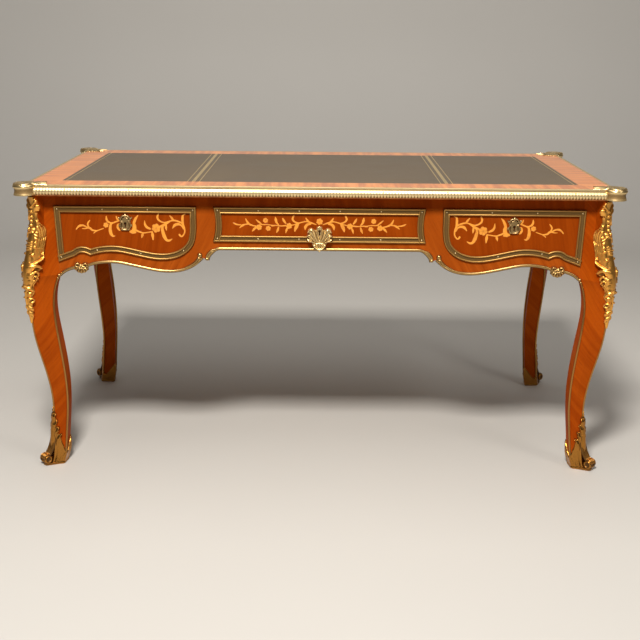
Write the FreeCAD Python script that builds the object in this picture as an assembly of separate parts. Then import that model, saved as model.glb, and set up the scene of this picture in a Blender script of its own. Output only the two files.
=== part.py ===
"""Writing table (bureau plat) with three frieze drawers, cabriole legs and gilt bronze mounts.

Millimetres. +X runs along the front to the right, +Y to the back, +Z up.
The origin is on the floor, under the middle of the top.
"""
import FreeCAD
import Part
import math
import os

V = FreeCAD.Vector

# Overall sizes, over the bronze edge of the top
TOP_WIDTH = 1544.0
TOP_DEPTH = 812.0
HEIGHT = 780.0

# Top board, its leather and its bronze edge
TOP_THICKNESS = 30.0
EDGE_PROUD = 14.0
EDGE_FILLET = 5.5
EDGE_GROOVE = 1.2
EDGE_GROOVE_DEPTH = 1.5
EDGE_TORUS = 20.0
EDGE_BULGE = 5.5
LEATHER_BORDER = 90.0
LEATHER_THICKNESS = 2.0
LEATHER_SIDE_WIDTH = 347.0
LEATHER_SEAM = 0.4
BOARD_CORNER = 20.0
CLASP_CENTRE = 10.0
CLASP_RADIUS = 29.0
CLASP_LAP = 4.0
CLASP_THROAT = 3.5
CLASP_SHOULDER = 4.0
CLASP_BELLY = 0.8
CLASP_FOOT = 1.0
CLASP_LEAF = [(19.0, 26.0), (23.0, 38.0), (9.0, 46.0), (0.0, 66.0)]

# Frieze boards and the lines that the drawers hang from
FRIEZE_INSET = 43.0
BOARD = 22.0
TOP_RAIL = 30.0
POST_INSET = 80.0
POST_REBATE = 5.0
TENON_LENGTH = 16.0
TENON_THICKNESS = 10.0
TENON_SHOULDER = 5.0
STILE_WIDTH = 46.5
STILE_FOOT_DROP = 80.0
PARTITION = 20.0
PARTITION_DROP = 130.0

# Drawers: fronts, boxes and running clearances
SIDE_DRAWER_WIDTH = 372.5
SIDE_DRAWER_SLANT = 6.0
CENTRE_DRAWER_HEIGHT = 91.0
CENTRE_DRAWER_HOLLOW = 5.5
CENTRE_DRAWER_SPLAY = 2.0
DRAWER_GAP = 1.2
DRAWER_LENGTH = 520.0
BOX_WALL = 12.0
BOX_SIDE_INSET = 10.0
BOX_TOP_DROP = 7.5
SIDE_BOX_FLOOR_DROP = 117.0
CENTRE_BOX_FLOOR_DROP = 85.0
BOTTOM_THICKNESS = 6.0
BOTTOM_RAISE = 6.0
BOTTOM_GROOVE = 5.0
RUN_GAP = 0.3
GUIDE_GAP = 1.5
RUNNER_HEIGHT = 13.0
RUNNER_LEDGE = 16.0
GUIDE_HEIGHT = 34.0
KICKER_HEIGHT = 18.0
STOP_LENGTH = 20.0
STOP_HEIGHT = 22.0
DOVETAIL_PITCH = 28.0
DOVETAIL_SHARE = 0.6
DOVETAIL_SLOPE = 6.0
DOVETAIL_LAP = 14.0

# Locks: brass case in the back of the drawer front, bolt that rises into the top rail
SIDE_KEY_DROP = 45.0
CENTRE_KEY_DROP = 59.0
KEY_RADIUS = 3.2
KEY_SLOT = 2.8
KEY_LENGTH = 11.0
LOCK_WIDTH = 64.0
LOCK_THICKNESS = 12.0
LOCK_BELOW_KEY = 12.0
BOLT_WIDTH = 22.0
BOLT_THICKNESS = 6.0
BOLT_LENGTH = 21.0
BOLT_SHY = 0.4
BOLT_THROW = 8.0
BOLT_GAP = 0.3

# Bronze mouldings: drawer and panel frames, apron beads, leg beads
FRAME_WIDTH = 16.0
FRAME_RIM = 4.0
FRAME_RISE = 6.0
FRAME_CHANNEL = 3.0
BEAD_RADIUS = 4.5
BEAD_HANG = 2.5
BEAD_SIDES = 8
LEG_BEAD = 3.2
LEG_BEAD_LAP = 16.0
BUD_RADIUS = 5.0
BUD_HEIGHT = 17.0
SHELL_WIDTH = 40.0
SHELL_HEIGHT = 34.0
SHELL_THICKNESS = 8.0
SHELL_VALLEY = 0.84
ESCUTCHEON_WIDTH = 32.0
ESCUTCHEON_HEIGHT = 42.0
ESCUTCHEON_THICKNESS = 3.0
ESCUTCHEON_VALLEY = 0.86
PLATE_LOBES = 7
PALMETTE_HALF_WIDTH = 33.0
PALMETTE_HEIGHT = 72.0
PALMETTE_FOOT_DROP = 115.0
PALMETTE_THICKNESS = 7.0
PALMETTE_CLEAR = 0.5
PALMETTE_OUTLINE = [(0, 0), (0.42, 0.06), (0.55, 0.28), (0.86, 0.25), (0.80, 0.44), (1.0, 0.58),
                    (0.72, 0.68), (0.70, 0.90), (0.30, 0.84), (0.21, 0.96), (0, 1.0)]

# Legs: distances in from the edge line of the top. Upper rows: drop below the drawer line, ridge,
# cant of the corner, crown of the face. Lower rows: share of the knee height, ridge, cant, and the
# inner edge and front plane against those of the post.
KNEE_DROP = 184.0
LEG_CROWN = 2.0
LEG_HEEL = 3.0
LEG_POST = [(-TOP_RAIL, 9.5, 26.0, -15.5), (80.0, 7.5, 26.0, -15.0), (135.0, 0.0, 23.0, -7.0),
            (KNEE_DROP, -2.3, 17.0, LEG_CROWN)]
LEG_SWEEP = [(0.942, -1.0, 14.0, -12.5, -3.5), (0.877, 1.6, 11.5, -17.0, -8.0),
             (0.80, 4.8, 8.5, -16.5, -12.0), (0.71, 9.0, 6.5, -11.5, -14.5),
             (0.556, 24.0, 6.0, -2.5, -8.0), (0.448, 35.0, 5.0, 1.5, -1.5),
             (0.345, 41.2, 5.0, 2.0, 3.0), (0.2425, 40.5, 5.0, -1.0, 2.3),
             (0.112, 34.0, 5.0, -6.5, -4.5), (0.0, 25.0, 5.0, -18.0, -13.5)]

# Bronze on the legs: corner mounts (chutes) and shoes (sabots). Their half outlines run as an end, a
# middle and an end of each arc: wing as (inset, drop), spine as (half-width, drop), and the leaves of
# the shoe as (half-width, height).
CHUTE_SKIN = 3.0
CHUTE_RELIEF = 10.0
CHUTE_REACH = 59.0
CHUTE_WING = [(36, -24), (40, 8), (34, 30), (52, 52), (54, 80), (49, 112), (49, 140), (44, 152), (26, 158),
              (47, 168), (38, 186), (41, 200), (24, 212), (19, 226), (26, 240), (28, 262), (18, 282),
              (13, 296), (9, 306)]
CHUTE_SPINE = [(0, -22), (13, -14), (15, 8), (11, 30), (16, 52), (20, 84), (13, 118), (9, 136), (14, 158),
               (15, 190), (9, 222), (7, 256), (0, 292)]
SABOT_SKIN = 4.0
SABOT_SOLE = 6.0
SABOT_LEAF = [(0, 162), (4, 130), (12, 98), (21, 76), (34, 37)]
SABOT_HEEL_LEAF = [(0, 64), (5, 52), (18, 37)]
TOE_INSET = 20.0
TOE_RADIUS = 13.5
TOE_LENGTH = 24.0
TOE_HEIGHT = 18.5
TOE_EYE = 6.0
TOE_EYE_PROUD = 1.5
TOE_PAD = 11.5
CORNER_CLEAR = 60.0

# Wooden buttons and screws that hold the top down
BUTTON_LENGTH = 36.0
BUTTON_WIDTH = 30.0
BUTTON_HEIGHT = 15.0
BUTTON_TONGUE = 8.0
BUTTON_PLACES = [-600.0, -150.0, 150.0, 600.0]
SCREW_RADIUS = 2.2
SCREW_HEAD_RADIUS = 4.2
SCREW_HEAD = 2.6
SCREW_BITE = 12.0
SCREW_GAP = 0.1

HALF_W = TOP_WIDTH / 2
HALF_D = TOP_DEPTH / 2
Z_UNDER = HEIGHT - TOP_THICKNESS
Z_LINE = Z_UNDER - TOP_RAIL
Z_KNEE = Z_LINE - KNEE_DROP
EDGE_HEIGHT = EDGE_FILLET + EDGE_GROOVE + EDGE_TORUS
POST_X = HALF_W - POST_INSET
POST_Y = HALF_D - POST_INSET
FRONT_Y = -(HALF_D - FRIEZE_INSET)
FRONT_BACK_Y = FRONT_Y + BOARD
SIDE_X = -(HALF_W - FRIEZE_INSET)
SIDE_INNER_X = SIDE_X + BOARD
DRAWER_OUTER = POST_X + POST_REBATE
DRAWER_INNER = DRAWER_OUTER - SIDE_DRAWER_WIDTH
CENTRE_HALF = DRAWER_INNER - STILE_WIDTH
PARTITION_X = (DRAWER_INNER + CENTRE_HALF) / 2
BOX_TOP = Z_LINE - BOX_TOP_DROP
BACK_OF_BOX = FRONT_BACK_Y + DRAWER_LENGTH
CHUTE_TAIL = CHUTE_WING[-1][1]
SABOT_BODY = SABOT_LEAF[2][1]
SABOT_HEEL = SABOT_LEAF[-1][1]
X_MIRROR = V(1, 0, 0)
Y_MIRROR = V(0, 1, 0)
ACROSS = V(1, -1, 0).normalize()
INWARD = V(1, 1, 0).normalize()
ORIGIN = V(0, 0, 0)


def box(x0, x1, y0, y1, z0, z1):
    return Part.makeBox(x1 - x0, y1 - y0, z1 - z0, V(x0, y0, z0))


def mirrored(shape, normal):
    return shape.mirror(ORIGIN, normal)


def clean(shape):
    return shape.removeSplitter()


def fuse(shapes):
    return clean(shapes[0].multiFuse(shapes[1:]))


def group(shapes):
    """Separate solids that share one node."""
    return Part.makeCompound([solid for shape in shapes for solid in shape.Solids])


def four_corners(shape):
    """The front left piece and its three mirrored fellows."""
    right = mirrored(shape, X_MIRROR)
    return {"front_left": shape, "front_right": right,
            "back_left": mirrored(shape, Y_MIRROR), "back_right": mirrored(right, Y_MIRROR)}


def line(p, q):
    return Part.LineSegment(p, q).toShape()


def arc(p, middle, q):
    return Part.Arc(p, middle, q).toShape()


def arc_chain(points):
    """Arcs through an end, a middle and an end, each end shared with the next arc."""
    return [arc(*points[first:first + 3]) for first in range(0, len(points) - 2, 2)]


def tangent_arc(p, heading, q):
    """Arc from p to q that leaves p along the unit vector heading."""
    chord = q - p
    along = chord / chord.Length
    aside = heading - along * heading.dot(along)
    if aside.Length < 1e-4:
        return line(p, q)
    turn = math.acos(max(-1.0, min(1.0, heading.dot(along))))
    rise = chord.Length / 2 * math.tan(turn / 2)
    return arc(p, (p + q) / 2 + aside / aside.Length * rise, q)


def biarc(p, leave, q, arrive):
    """Two arcs from p to q, tangent to each other and to the unit vectors leave and arrive."""
    chord = q - p
    both = leave + arrive
    spread = 2 * (1 - leave.dot(arrive))
    if spread < 1e-6:
        reach = chord.dot(chord) / (4 * chord.dot(arrive))
    else:
        reach = (math.sqrt(chord.dot(both) ** 2 + spread * chord.dot(chord)) - chord.dot(both)) / spread
    meet = (p + leave * reach + q - arrive * reach) / 2
    return [tangent_arc(p, leave, meet), tangent_arc(q, arrive * -1, meet)]


def flow(stations, place):
    """Smooth chain of arcs through (across, drop, heading in degrees); drops hang from the drawer line."""
    edges = []
    for (u0, d0, a0), (u1, d1, a1) in zip(stations, stations[1:]):
        p, q = place(u0, d0), place(u1, d1)
        leave = place(u0 + math.cos(math.radians(a0)), d0 - math.sin(math.radians(a0))) - p
        arrive = place(u1 + math.cos(math.radians(a1)), d1 - math.sin(math.radians(a1))) - q
        edges += biarc(p, leave, q, arrive)
    return edges


def face_of(edges):
    return Part.Face(Part.Wire(Part.__sortEdges__(edges)))


def bead(edges, radius, across):
    """Eight-sided bar along a smooth chain of arcs in the plane square to across."""
    wire = Part.Wire(edges)
    first = wire.OrderedEdges[0]
    start = wire.OrderedVertexes[0].Point
    up = across.cross(first.tangentAt(first.getParameterByLength(0)))
    angles = [math.pi * (2 * side + 1) / BEAD_SIDES for side in range(BEAD_SIDES)]
    spokes = [across * math.cos(angle) + up * math.sin(angle) for angle in angles]
    ring = [start + spoke * radius for spoke in spokes]
    return wire.makePipe(Part.Face(Part.makePolygon(ring + ring[:1])))


# Places on the four friezes: across from the leg post, and drop below the drawer line
def on_front(u, d):
    return V(-POST_X + u, FRONT_Y, Z_LINE - d)


def on_side(u, d):
    return V(SIDE_X, -POST_Y + u, Z_LINE - d)


# Lower edges of the aprons. Each starts at the leg, dips to a cusp behind the small shell, rises and
# falls in a long swell; on the front it then climbs to the flat arch over the knees.
FRONT_INNER = POST_X - DRAWER_INNER
ARCH_DROP = 107.5
APRON_LOBE = [(0.0, KNEE_DROP, 47.0), (39.0, 163.0, 12.0), (60.5, 164.0, -20.0)]
SHELL_AT = APRON_LOBE[-1]
APRON_RISE = [(SHELL_AT[0], SHELL_AT[1], 30.0), (138.0, 145.8, 0.0)]
FRONT_SWELL = APRON_RISE + [(212.0, 157.7, -12.5), (FRONT_INNER - 72.5, 170.0, 0.0),
                            (FRONT_INNER - 14.0, 155.4, 30.0), (FRONT_INNER + 12.5, 134.0, 45.0)]
FRONT_NICK = (FRONT_INNER + 26.5, 141.0)
FRONT_ARCH = [(FRONT_NICK[0], FRONT_NICK[1], 84.0), (FRONT_NICK[0] + 18.0, 114.0, 40.0),
              (FRONT_NICK[0] + 56.0, ARCH_DROP, 0.0)]
BUD_AT = (FRONT_INNER + 7.0, 130.0)
SIDE_SWELL = APRON_RISE + [(0.69 * POST_Y, 157.7, -11.0), (POST_Y, 170.0, 0.0)]

# Lower edges of the drawer fronts and panel frames: a small outer lobe, a cusp and a long swell
LOBE = [(0.0, 149.0, 22.0), (37.0, 135.0, 18.0), (63.0, 123.5, 0.0), (85.0, 130.5, -28.0)]
SWELL = [(85.0, 130.5, 20.0), (143.0, 120.5, 0.0), (211.0, 131.5, -13.0)]
BELLY_FROM_END = 90.5
BELLY_DROP = 140.8
ROUND_CORNER = [(20.5, 115.0, 44.0), (0.0, 48.0, 90.0)]


def apron_edges(place, swell):
    lobe = flow(APRON_LOBE, place)
    return lobe + flow(swell, place)


def front_board():
    """Whole front of the frieze before the drawer openings: left half and its mirror."""
    lower = apron_edges(on_front, FRONT_SWELL)
    lower.append(line(on_front(*FRONT_SWELL[-1][:2]), on_front(*FRONT_NICK)))
    lower += flow(FRONT_ARCH, on_front)
    end = on_front(*FRONT_ARCH[-1][:2])
    foot = V(0, FRONT_Y, Z_LINE - ARCH_DROP)
    head = V(0, FRONT_Y, Z_UNDER)
    corner = on_front(0, -TOP_RAIL)
    lower += [line(end, foot), line(foot, head), line(head, corner), line(corner, on_front(0, KNEE_DROP))]
    half = face_of(lower).extrude(V(0, BOARD, 0))
    return clean(half.fuse(mirrored(half, X_MIRROR)))


def side_board():
    """Left end of the frieze: front half and its mirror."""
    lower = apron_edges(on_side, SIDE_SWELL)
    foot = on_side(*SIDE_SWELL[-1][:2])
    head = on_side(POST_Y, -TOP_RAIL)
    corner = on_side(0, -TOP_RAIL)
    lower += [line(foot, head), line(head, corner), line(corner, on_side(0, KNEE_DROP))]
    half = face_of(lower).extrude(V(BOARD, 0, 0))
    return clean(half.fuse(mirrored(half, Y_MIRROR)))


def side_drawer_wire():
    """Outline of the left drawer front, as its bronze frame draws it."""
    def place(u, d):
        return V(-DRAWER_OUTER + SIDE_DRAWER_SLANT + u, FRONT_Y, Z_LINE - d)
    span = SIDE_DRAWER_WIDTH - SIDE_DRAWER_SLANT
    swell = SWELL + [(span - BELLY_FROM_END, BELLY_DROP, 0.0)]
    swell += [(span - back, drop, heading) for back, drop, heading in ROUND_CORNER]
    edges = flow(LOBE, place) + flow(swell, place)
    inner_top = V(-DRAWER_INNER, FRONT_Y, Z_LINE)
    outer_top = V(-DRAWER_OUTER, FRONT_Y, Z_LINE)
    edges += [line(place(*swell[-1][:2]), inner_top), line(inner_top, outer_top)]
    edges.append(line(outer_top, place(*LOBE[0][:2])))
    return Part.Wire(Part.__sortEdges__(edges))


def centre_drawer_wire():
    """Outline of the centre drawer front: straight above and below, hollow at both ends."""
    foot = CENTRE_HALF + CENTRE_DRAWER_SPLAY
    low = Z_LINE - CENTRE_DRAWER_HEIGHT
    waist = CENTRE_HALF - CENTRE_DRAWER_HOLLOW
    middle = (low + Z_LINE) / 2
    left_top, right_top = V(-CENTRE_HALF, FRONT_Y, Z_LINE), V(CENTRE_HALF, FRONT_Y, Z_LINE)
    left_low, right_low = V(-foot, FRONT_Y, low), V(foot, FRONT_Y, low)
    return Part.Wire([line(left_top, right_top), arc(right_top, V(waist, FRONT_Y, middle), right_low),
                      line(right_low, left_low), arc(left_low, V(-waist, FRONT_Y, middle), left_top)])


def side_panel_wire():
    """Outline of the bronze frame on the left end: the drawer's lower edge, met in the middle."""
    start = SIDE_DRAWER_SLANT
    def place(u, d):
        return on_side(u + start, d)
    swell = SWELL + [(POST_Y - start, BELLY_DROP, 0.0)]
    half = flow(LOBE, place) + flow(swell, place)
    top = on_side(0.0, 0.0)
    half.append(line(top, place(*LOBE[0][:2])))
    edges = half + [mirrored(edge, Y_MIRROR) for edge in half]
    edges.append(line(top, V(SIDE_X, POST_Y, Z_LINE)))
    return Part.Wire(Part.__sortEdges__(edges))


def prism(wire, vector):
    return Part.Face(wire).extrude(vector)


def bronze_frame(wire, outward):
    """Moulding along an outline: two raised rims with a channel between them."""
    rim_in = wire.makeOffset2D(-FRAME_RIM)
    channel_in = wire.makeOffset2D(FRAME_RIM - FRAME_WIDTH)
    inner = wire.makeOffset2D(-FRAME_WIDTH)
    tall, low = outward * FRAME_RISE, outward * FRAME_CHANNEL
    outer_rim = prism(wire, tall).cut(prism(rim_in, tall))
    channel = prism(rim_in, low).cut(prism(channel_in, low))
    inner_rim = prism(channel_in, tall).cut(prism(inner, tall))
    return fuse([outer_rim, channel, inner_rim])


def lobed_plate(centre, across, up, half_width, half_height, lobes, depth, thickness):
    """Shell-like plate: round lobes about an oval, extruded along across x up."""
    points = []
    for step in range(2 * lobes):
        angle = math.pi * (step + 0.5) / lobes
        reach = 1.0 if step % 2 == 0 else depth
        points.append(centre + across * (half_width * reach * math.sin(angle))
                      + up * (half_height * reach * math.cos(angle)))
    edges = []
    for lobe in range(lobes):
        valley = points[2 * lobe - 1]
        edges.append(arc(valley, points[2 * lobe], points[(2 * lobe + 1) % len(points)]))
    return face_of(edges).extrude(across.cross(up) * thickness)


# Legs
def corner_point(u, v, z):
    return V(-HALF_W + u, -HALF_D + v, z)


def leg_outline(ridge, cant, inner, face, crown, heel):
    """Half-plan of one leg section as insets, from the canted corner to the inner corner and back."""
    nose = (ridge + cant, ridge)
    edge = (inner, face)
    run = math.hypot(edge[0] - nose[0], edge[1] - nose[1])
    out = ((edge[1] - nose[1]) / run, (nose[0] - edge[0]) / run)
    swell = ((nose[0] + edge[0]) / 2 + out[0] * crown, (nose[1] + edge[1]) / 2 + out[1] * crown)
    front = [nose, swell, edge]
    side = [(v, u) for u, v in reversed(front)]
    return front + [(inner + heel, inner + heel)] + side


def grown(points, growth):
    """Closed plan outline moved outwards by growth, corner by corner."""
    moved = []
    count = len(points)
    for index in range(count):
        before, here, after = points[index - 1], points[index], points[(index + 1) % count]
        first = (here[0] - before[0], here[1] - before[1])
        second = (after[0] - here[0], after[1] - here[1])
        first_len, second_len = math.hypot(*first), math.hypot(*second)
        n1 = (first[1] / first_len, -first[0] / first_len)
        n2 = (second[1] / second_len, -second[0] / second_len)
        share = growth / (1 + n1[0] * n2[0] + n1[1] * n2[1])
        moved.append((here[0] + (n1[0] + n2[0]) * share, here[1] + (n1[1] + n2[1]) * share))
    return moved


def section_wire(points, z):
    ring = [corner_point(u, v, z) for u, v in points]
    return Part.makePolygon(ring + ring[:1])


def post_sections(growth):
    wires = []
    for drop, ridge, cant, crown in LEG_POST:
        plan = leg_outline(ridge, cant, POST_INSET, FRIEZE_INSET, crown, 0.0)
        wires.append(section_wire(grown(plan, growth), Z_LINE - drop))
    return wires


def sweep_plans():
    """Plans of the leg below the knee, with their heights, the knee first."""
    drop, ridge, cant, crown = LEG_POST[-1]
    plans = [(Z_KNEE, leg_outline(ridge, cant, POST_INSET, FRIEZE_INSET, crown, 0.0))]
    for share, ridge, cant, inner, face in LEG_SWEEP:
        plan = leg_outline(ridge, cant, POST_INSET + inner, FRIEZE_INSET + face, LEG_CROWN, LEG_HEEL)
        plans.append((share * Z_KNEE, plan))
    return plans


def leg_solid(growth):
    post = Part.makeLoft(post_sections(growth), True, False)
    sweep = Part.makeLoft([section_wire(grown(plan, growth), z) for z, plan in sweep_plans()], True, False)
    return post.fuse(sweep)


def sweep_bead(corner, half, low, high):
    """Square bead along one corner of the leg below the knee, between two heights."""
    wires = []
    for z, plan in sweep_plans():
        u, v = corner(plan)
        ring = [(u - half, v - half), (u + half, v - half), (u + half, v + half), (u - half, v + half)]
        wires.append(section_wire(ring, z))
    bar = Part.makeLoft(wires, True, False)
    return bar.common(box(-HALF_W - POST_INSET, 0, -HALF_D - POST_INSET, 0, low, high))


def ridge_middle(plan):
    return ((plan[0][0] + plan[-1][0]) / 2, (plan[0][1] + plan[-1][1]) / 2)


def front_edge(plan):
    return plan[2]


def diagonal_mirror(shape):
    """Mirror in the upright plane through the corner of the top at 45 degrees."""
    return shape.mirror(corner_point(0, 0, 0), V(1, -1, 0))


def chute_wing():
    """Front view of half a corner mount: wing, volute and trailing leaf."""
    rim = [corner_point(inset, -CORNER_CLEAR, Z_LINE - drop) for inset, drop in CHUTE_WING]
    head = corner_point(-CORNER_CLEAR, -CORNER_CLEAR, rim[0].z)
    foot = corner_point(-CORNER_CLEAR, -CORNER_CLEAR, rim[-1].z)
    outer = [line(rim[-1], foot), line(foot, head), line(head, rim[0])]
    return face_of(arc_chain(rim) + outer).extrude(V(0, CORNER_CLEAR + 2 * POST_INSET, 0))


def facing(half, z):
    """Place in an upright plane before the corner, square to its diagonal."""
    return corner_point(-CORNER_CLEAR, -CORNER_CLEAR, z) + ACROSS * half


def chute_spine():
    """Raised middle of the corner mount, seen along the diagonal."""
    rims = []
    for sign in (1, -1):
        rims += arc_chain([facing(sign * half, Z_LINE - drop) for half, drop in CHUTE_SPINE])
    return face_of(rims).extrude(INWARD * (2 * CORNER_CLEAR + POST_INSET))


def chute(leg):
    """Corner mount: a thin winged skin over the corner, with a raised spine."""
    half_space = Part.makeBox(3 * POST_INSET, 3 * POST_INSET, HEIGHT)
    half_space.rotate(ORIGIN, V(0, 0, 1), -45)
    half_space.translate(corner_point(0, 0, 0) - INWARD * POST_INSET)
    wing = leg_solid(CHUTE_SKIN).common(chute_wing()).common(half_space)
    spine = leg_solid(CHUTE_RELIEF).common(chute_spine())
    reach = box(-HALF_W - POST_INSET, -HALF_W + CHUTE_REACH, -HALF_D - POST_INSET, -HALF_D + CHUTE_REACH,
                0, Z_UNDER)
    whole = wing.fuse(diagonal_mirror(wing)).common(reach).fuse(spine.common(reach))
    return clean(whole.cut(leg))


def leaf_profile(half_outline):
    """Face of a leaf point that widens downwards to the floor, seen along the diagonal."""
    sides = []
    for sign in (1, -1):
        rim = [facing(sign * half, z) for half, z in half_outline]
        sides += arc_chain(rim) + [line(rim[-1], facing(sign * CORNER_CLEAR, 0))]
    return face_of(sides + [line(facing(CORNER_CLEAR, 0), facing(-CORNER_CLEAR, 0))])


def roll(radius, length):
    """Bar across the corner, through the middle of the toe's scroll."""
    middle = corner_point(TOE_INSET, TOE_INSET, TOE_HEIGHT)
    return Part.makeCylinder(radius, length, middle - ACROSS * (length / 2), ACROSS)


def sabot(leg):
    """Cast shoe: skin round the foot with leaf points at the corner and the heel, and a scrolled toe."""
    outer = leaf_profile(SABOT_LEAF).extrude(INWARD * (math.sqrt(2) * CORNER_CLEAR + POST_INSET))
    inner = leaf_profile(SABOT_HEEL_LEAF).extrude(INWARD * (2 * CORNER_CLEAR + 4 * POST_INSET))
    shoe = leg_solid(SABOT_SKIN).common(outer.fuse(inner))
    toe = roll(TOE_RADIUS, TOE_LENGTH).fuse(roll(TOE_EYE, TOE_LENGTH + 2 * TOE_EYE_PROUD))
    pad = Part.makeCylinder(TOE_PAD, TOE_HEIGHT, corner_point(TOE_INSET, TOE_INSET, 0))
    return clean(shoe.fuse([toe, pad]).cut(leg))


# Top
def top_board():
    half_w, half_d = HALF_W - EDGE_PROUD, HALF_D - EDGE_PROUD
    board = box(-half_w, half_w, -half_d, half_d, Z_UNDER, HEIGHT)
    upright = [edge for edge in board.Edges if abs(edge.tangentAt(edge.FirstParameter).z) > 0.9]
    board = board.makeFillet(BOARD_CORNER, upright)
    lx, ly = HALF_W - LEATHER_BORDER, HALF_D - LEATHER_BORDER
    return board.cut(box(-lx, lx, -ly, ly, HEIGHT - LEATHER_THICKNESS, HEIGHT))


def leathers():
    lx, ly = HALF_W - LEATHER_BORDER, HALF_D - LEATHER_BORDER
    seam = lx - LEATHER_SIDE_WIDTH
    low = HEIGHT - LEATHER_THICKNESS
    return {"leather_left": box(-lx, -seam - LEATHER_SEAM, -ly, ly, low, HEIGHT),
            "leather_centre": box(-seam, seam, -ly, ly, low, HEIGHT),
            "leather_right": box(seam + LEATHER_SEAM, lx, -ly, ly, low, HEIGHT)}


def edge_moulding(place, run):
    """Bronze edge: plain fillet, fine groove and a round torus below; place maps (outwards, down)."""
    fillet_out = EDGE_PROUD - EDGE_BULGE
    groove_out = fillet_out - EDGE_GROOVE_DEPTH
    torus_top = EDGE_FILLET + EDGE_GROOVE
    outline = [(0, EDGE_HEIGHT), (0, 0), (fillet_out, 0), (fillet_out, EDGE_FILLET),
               (groove_out, EDGE_FILLET), (groove_out, torus_top), (fillet_out, torus_top)]
    corners = [place(out, down) for out, down in outline]
    edges = [line(p, q) for p, q in zip(corners, corners[1:])]
    foot = place(fillet_out, EDGE_HEIGHT)
    edges.append(arc(corners[-1], place(EDGE_PROUD, torus_top + EDGE_TORUS / 2), foot))
    edges.append(line(foot, corners[0]))
    return face_of(edges).extrude(run)


def on_front_edge(out, down):
    return V(CLASP_CENTRE - HALF_W, -HALF_D + EDGE_PROUD - out, HEIGHT - down)


def on_left_edge(out, down):
    return V(-HALF_W + EDGE_PROUD - out, CLASP_CENTRE - HALF_D, HEIGHT - down)


def clasp():
    """Round bronze ear on the front left corner of the top, with a leaf that laps onto the board."""
    low = HEIGHT - EDGE_HEIGHT
    high = HEIGHT + CLASP_LAP
    def at(radius, z):
        return corner_point(CLASP_CENTRE + radius, CLASP_CENTRE, z)
    top = CLASP_RADIUS - CLASP_SHOULDER
    throat = at(CLASP_RADIUS - CLASP_THROAT, (low + HEIGHT) / 2)
    sides = arc_chain([at(CLASP_RADIUS - CLASP_FOOT, low), throat, at(CLASP_RADIUS, HEIGHT - EDGE_FILLET),
                       at(CLASP_RADIUS - CLASP_BELLY, HEIGHT), at(top, high)])
    sides += [line(at(top, high), at(0, high)), line(at(0, high), at(0, low))]
    sides.append(line(at(0, low), at(CLASP_RADIUS - CLASP_FOOT, low)))
    ear = face_of(sides).revolve(corner_point(CLASP_CENTRE, CLASP_CENTRE, 0), V(0, 0, 1), 360)
    heart = corner_point(CLASP_CENTRE, CLASP_CENTRE, HEIGHT)
    rims = []
    for sign in (1, -1):
        half_rim = [(top, 0.0)] + CLASP_LEAF
        rims += arc_chain([heart + ACROSS * (sign * half) + INWARD * reach for half, reach in half_rim])
    leaf = face_of(rims + [line(heart - ACROSS * top, heart + ACROSS * top)])
    return ear.fuse(leaf.extrude(V(0, 0, CLASP_LAP)))


# Drawers
def keyhole(x, z, y0, y1):
    """Round eye with a slot below it, running front to back."""
    eye = Part.makeCylinder(KEY_RADIUS, y1 - y0, V(x, y0, z), V(0, 1, 0))
    return eye.fuse(box(x - KEY_SLOT / 2, x + KEY_SLOT / 2, y0, y1, z - KEY_LENGTH, z))


def lock_pieces(x, key_drop):
    """Lock case, its bolt at rest, and the space that the case takes in the drawer front."""
    low = Z_LINE - key_drop - LOCK_BELOW_KEY
    case = box(x - LOCK_WIDTH / 2, x + LOCK_WIDTH / 2, FRONT_BACK_Y - LOCK_THICKNESS, FRONT_BACK_Y,
               low, Z_LINE)
    middle = FRONT_BACK_Y - LOCK_THICKNESS / 2
    bolt_top = Z_LINE - BOLT_SHY
    half_x, half_y = BOLT_WIDTH / 2, BOLT_THICKNESS / 2
    bolt = box(x - half_x, x + half_x, middle - half_y, middle + half_y, bolt_top - BOLT_LENGTH, bolt_top)
    slot_x, slot_y = half_x + BOLT_GAP, half_y + BOLT_GAP
    slot = box(x - slot_x, x + slot_x, middle - slot_y, middle + slot_y,
               bolt_top - BOLT_LENGTH - BOLT_GAP, Z_LINE)
    return case, bolt, case.cut(slot)


def bolt_mortise(x):
    """Pocket in the top rail that takes the thrown bolt."""
    middle = FRONT_BACK_Y - LOCK_THICKNESS / 2
    half_x, half_y = BOLT_WIDTH / 2 + 2 * BOLT_GAP, BOLT_THICKNESS / 2 + 2 * BOLT_GAP
    high = Z_LINE + BOLT_THROW + TENON_SHOULDER
    return box(x - half_x, x + half_x, middle - half_y, middle + half_y, Z_LINE, high)


def dovetails(x0, x1, root, tip, low, high):
    """Row of tails on the end of a drawer side: each spreads from its root to its tip."""
    count = max(2, round((high - low) / DOVETAIL_PITCH))
    pitch = (high - low) / count
    half_tip = pitch * DOVETAIL_SHARE / 2
    half_root = half_tip - abs(tip - root) / DOVETAIL_SLOPE
    tails = []
    for index in range(count):
        middle = low + pitch * (index + 0.5)
        corners = [V(x0, root, middle - half_root), V(x0, tip, middle - half_tip),
                   V(x0, tip, middle + half_tip), V(x0, root, middle + half_root)]
        tails.append(prism(Part.makePolygon(corners + corners[:1]), V(x1 - x0, 0, 0)))
    return tails


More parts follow.
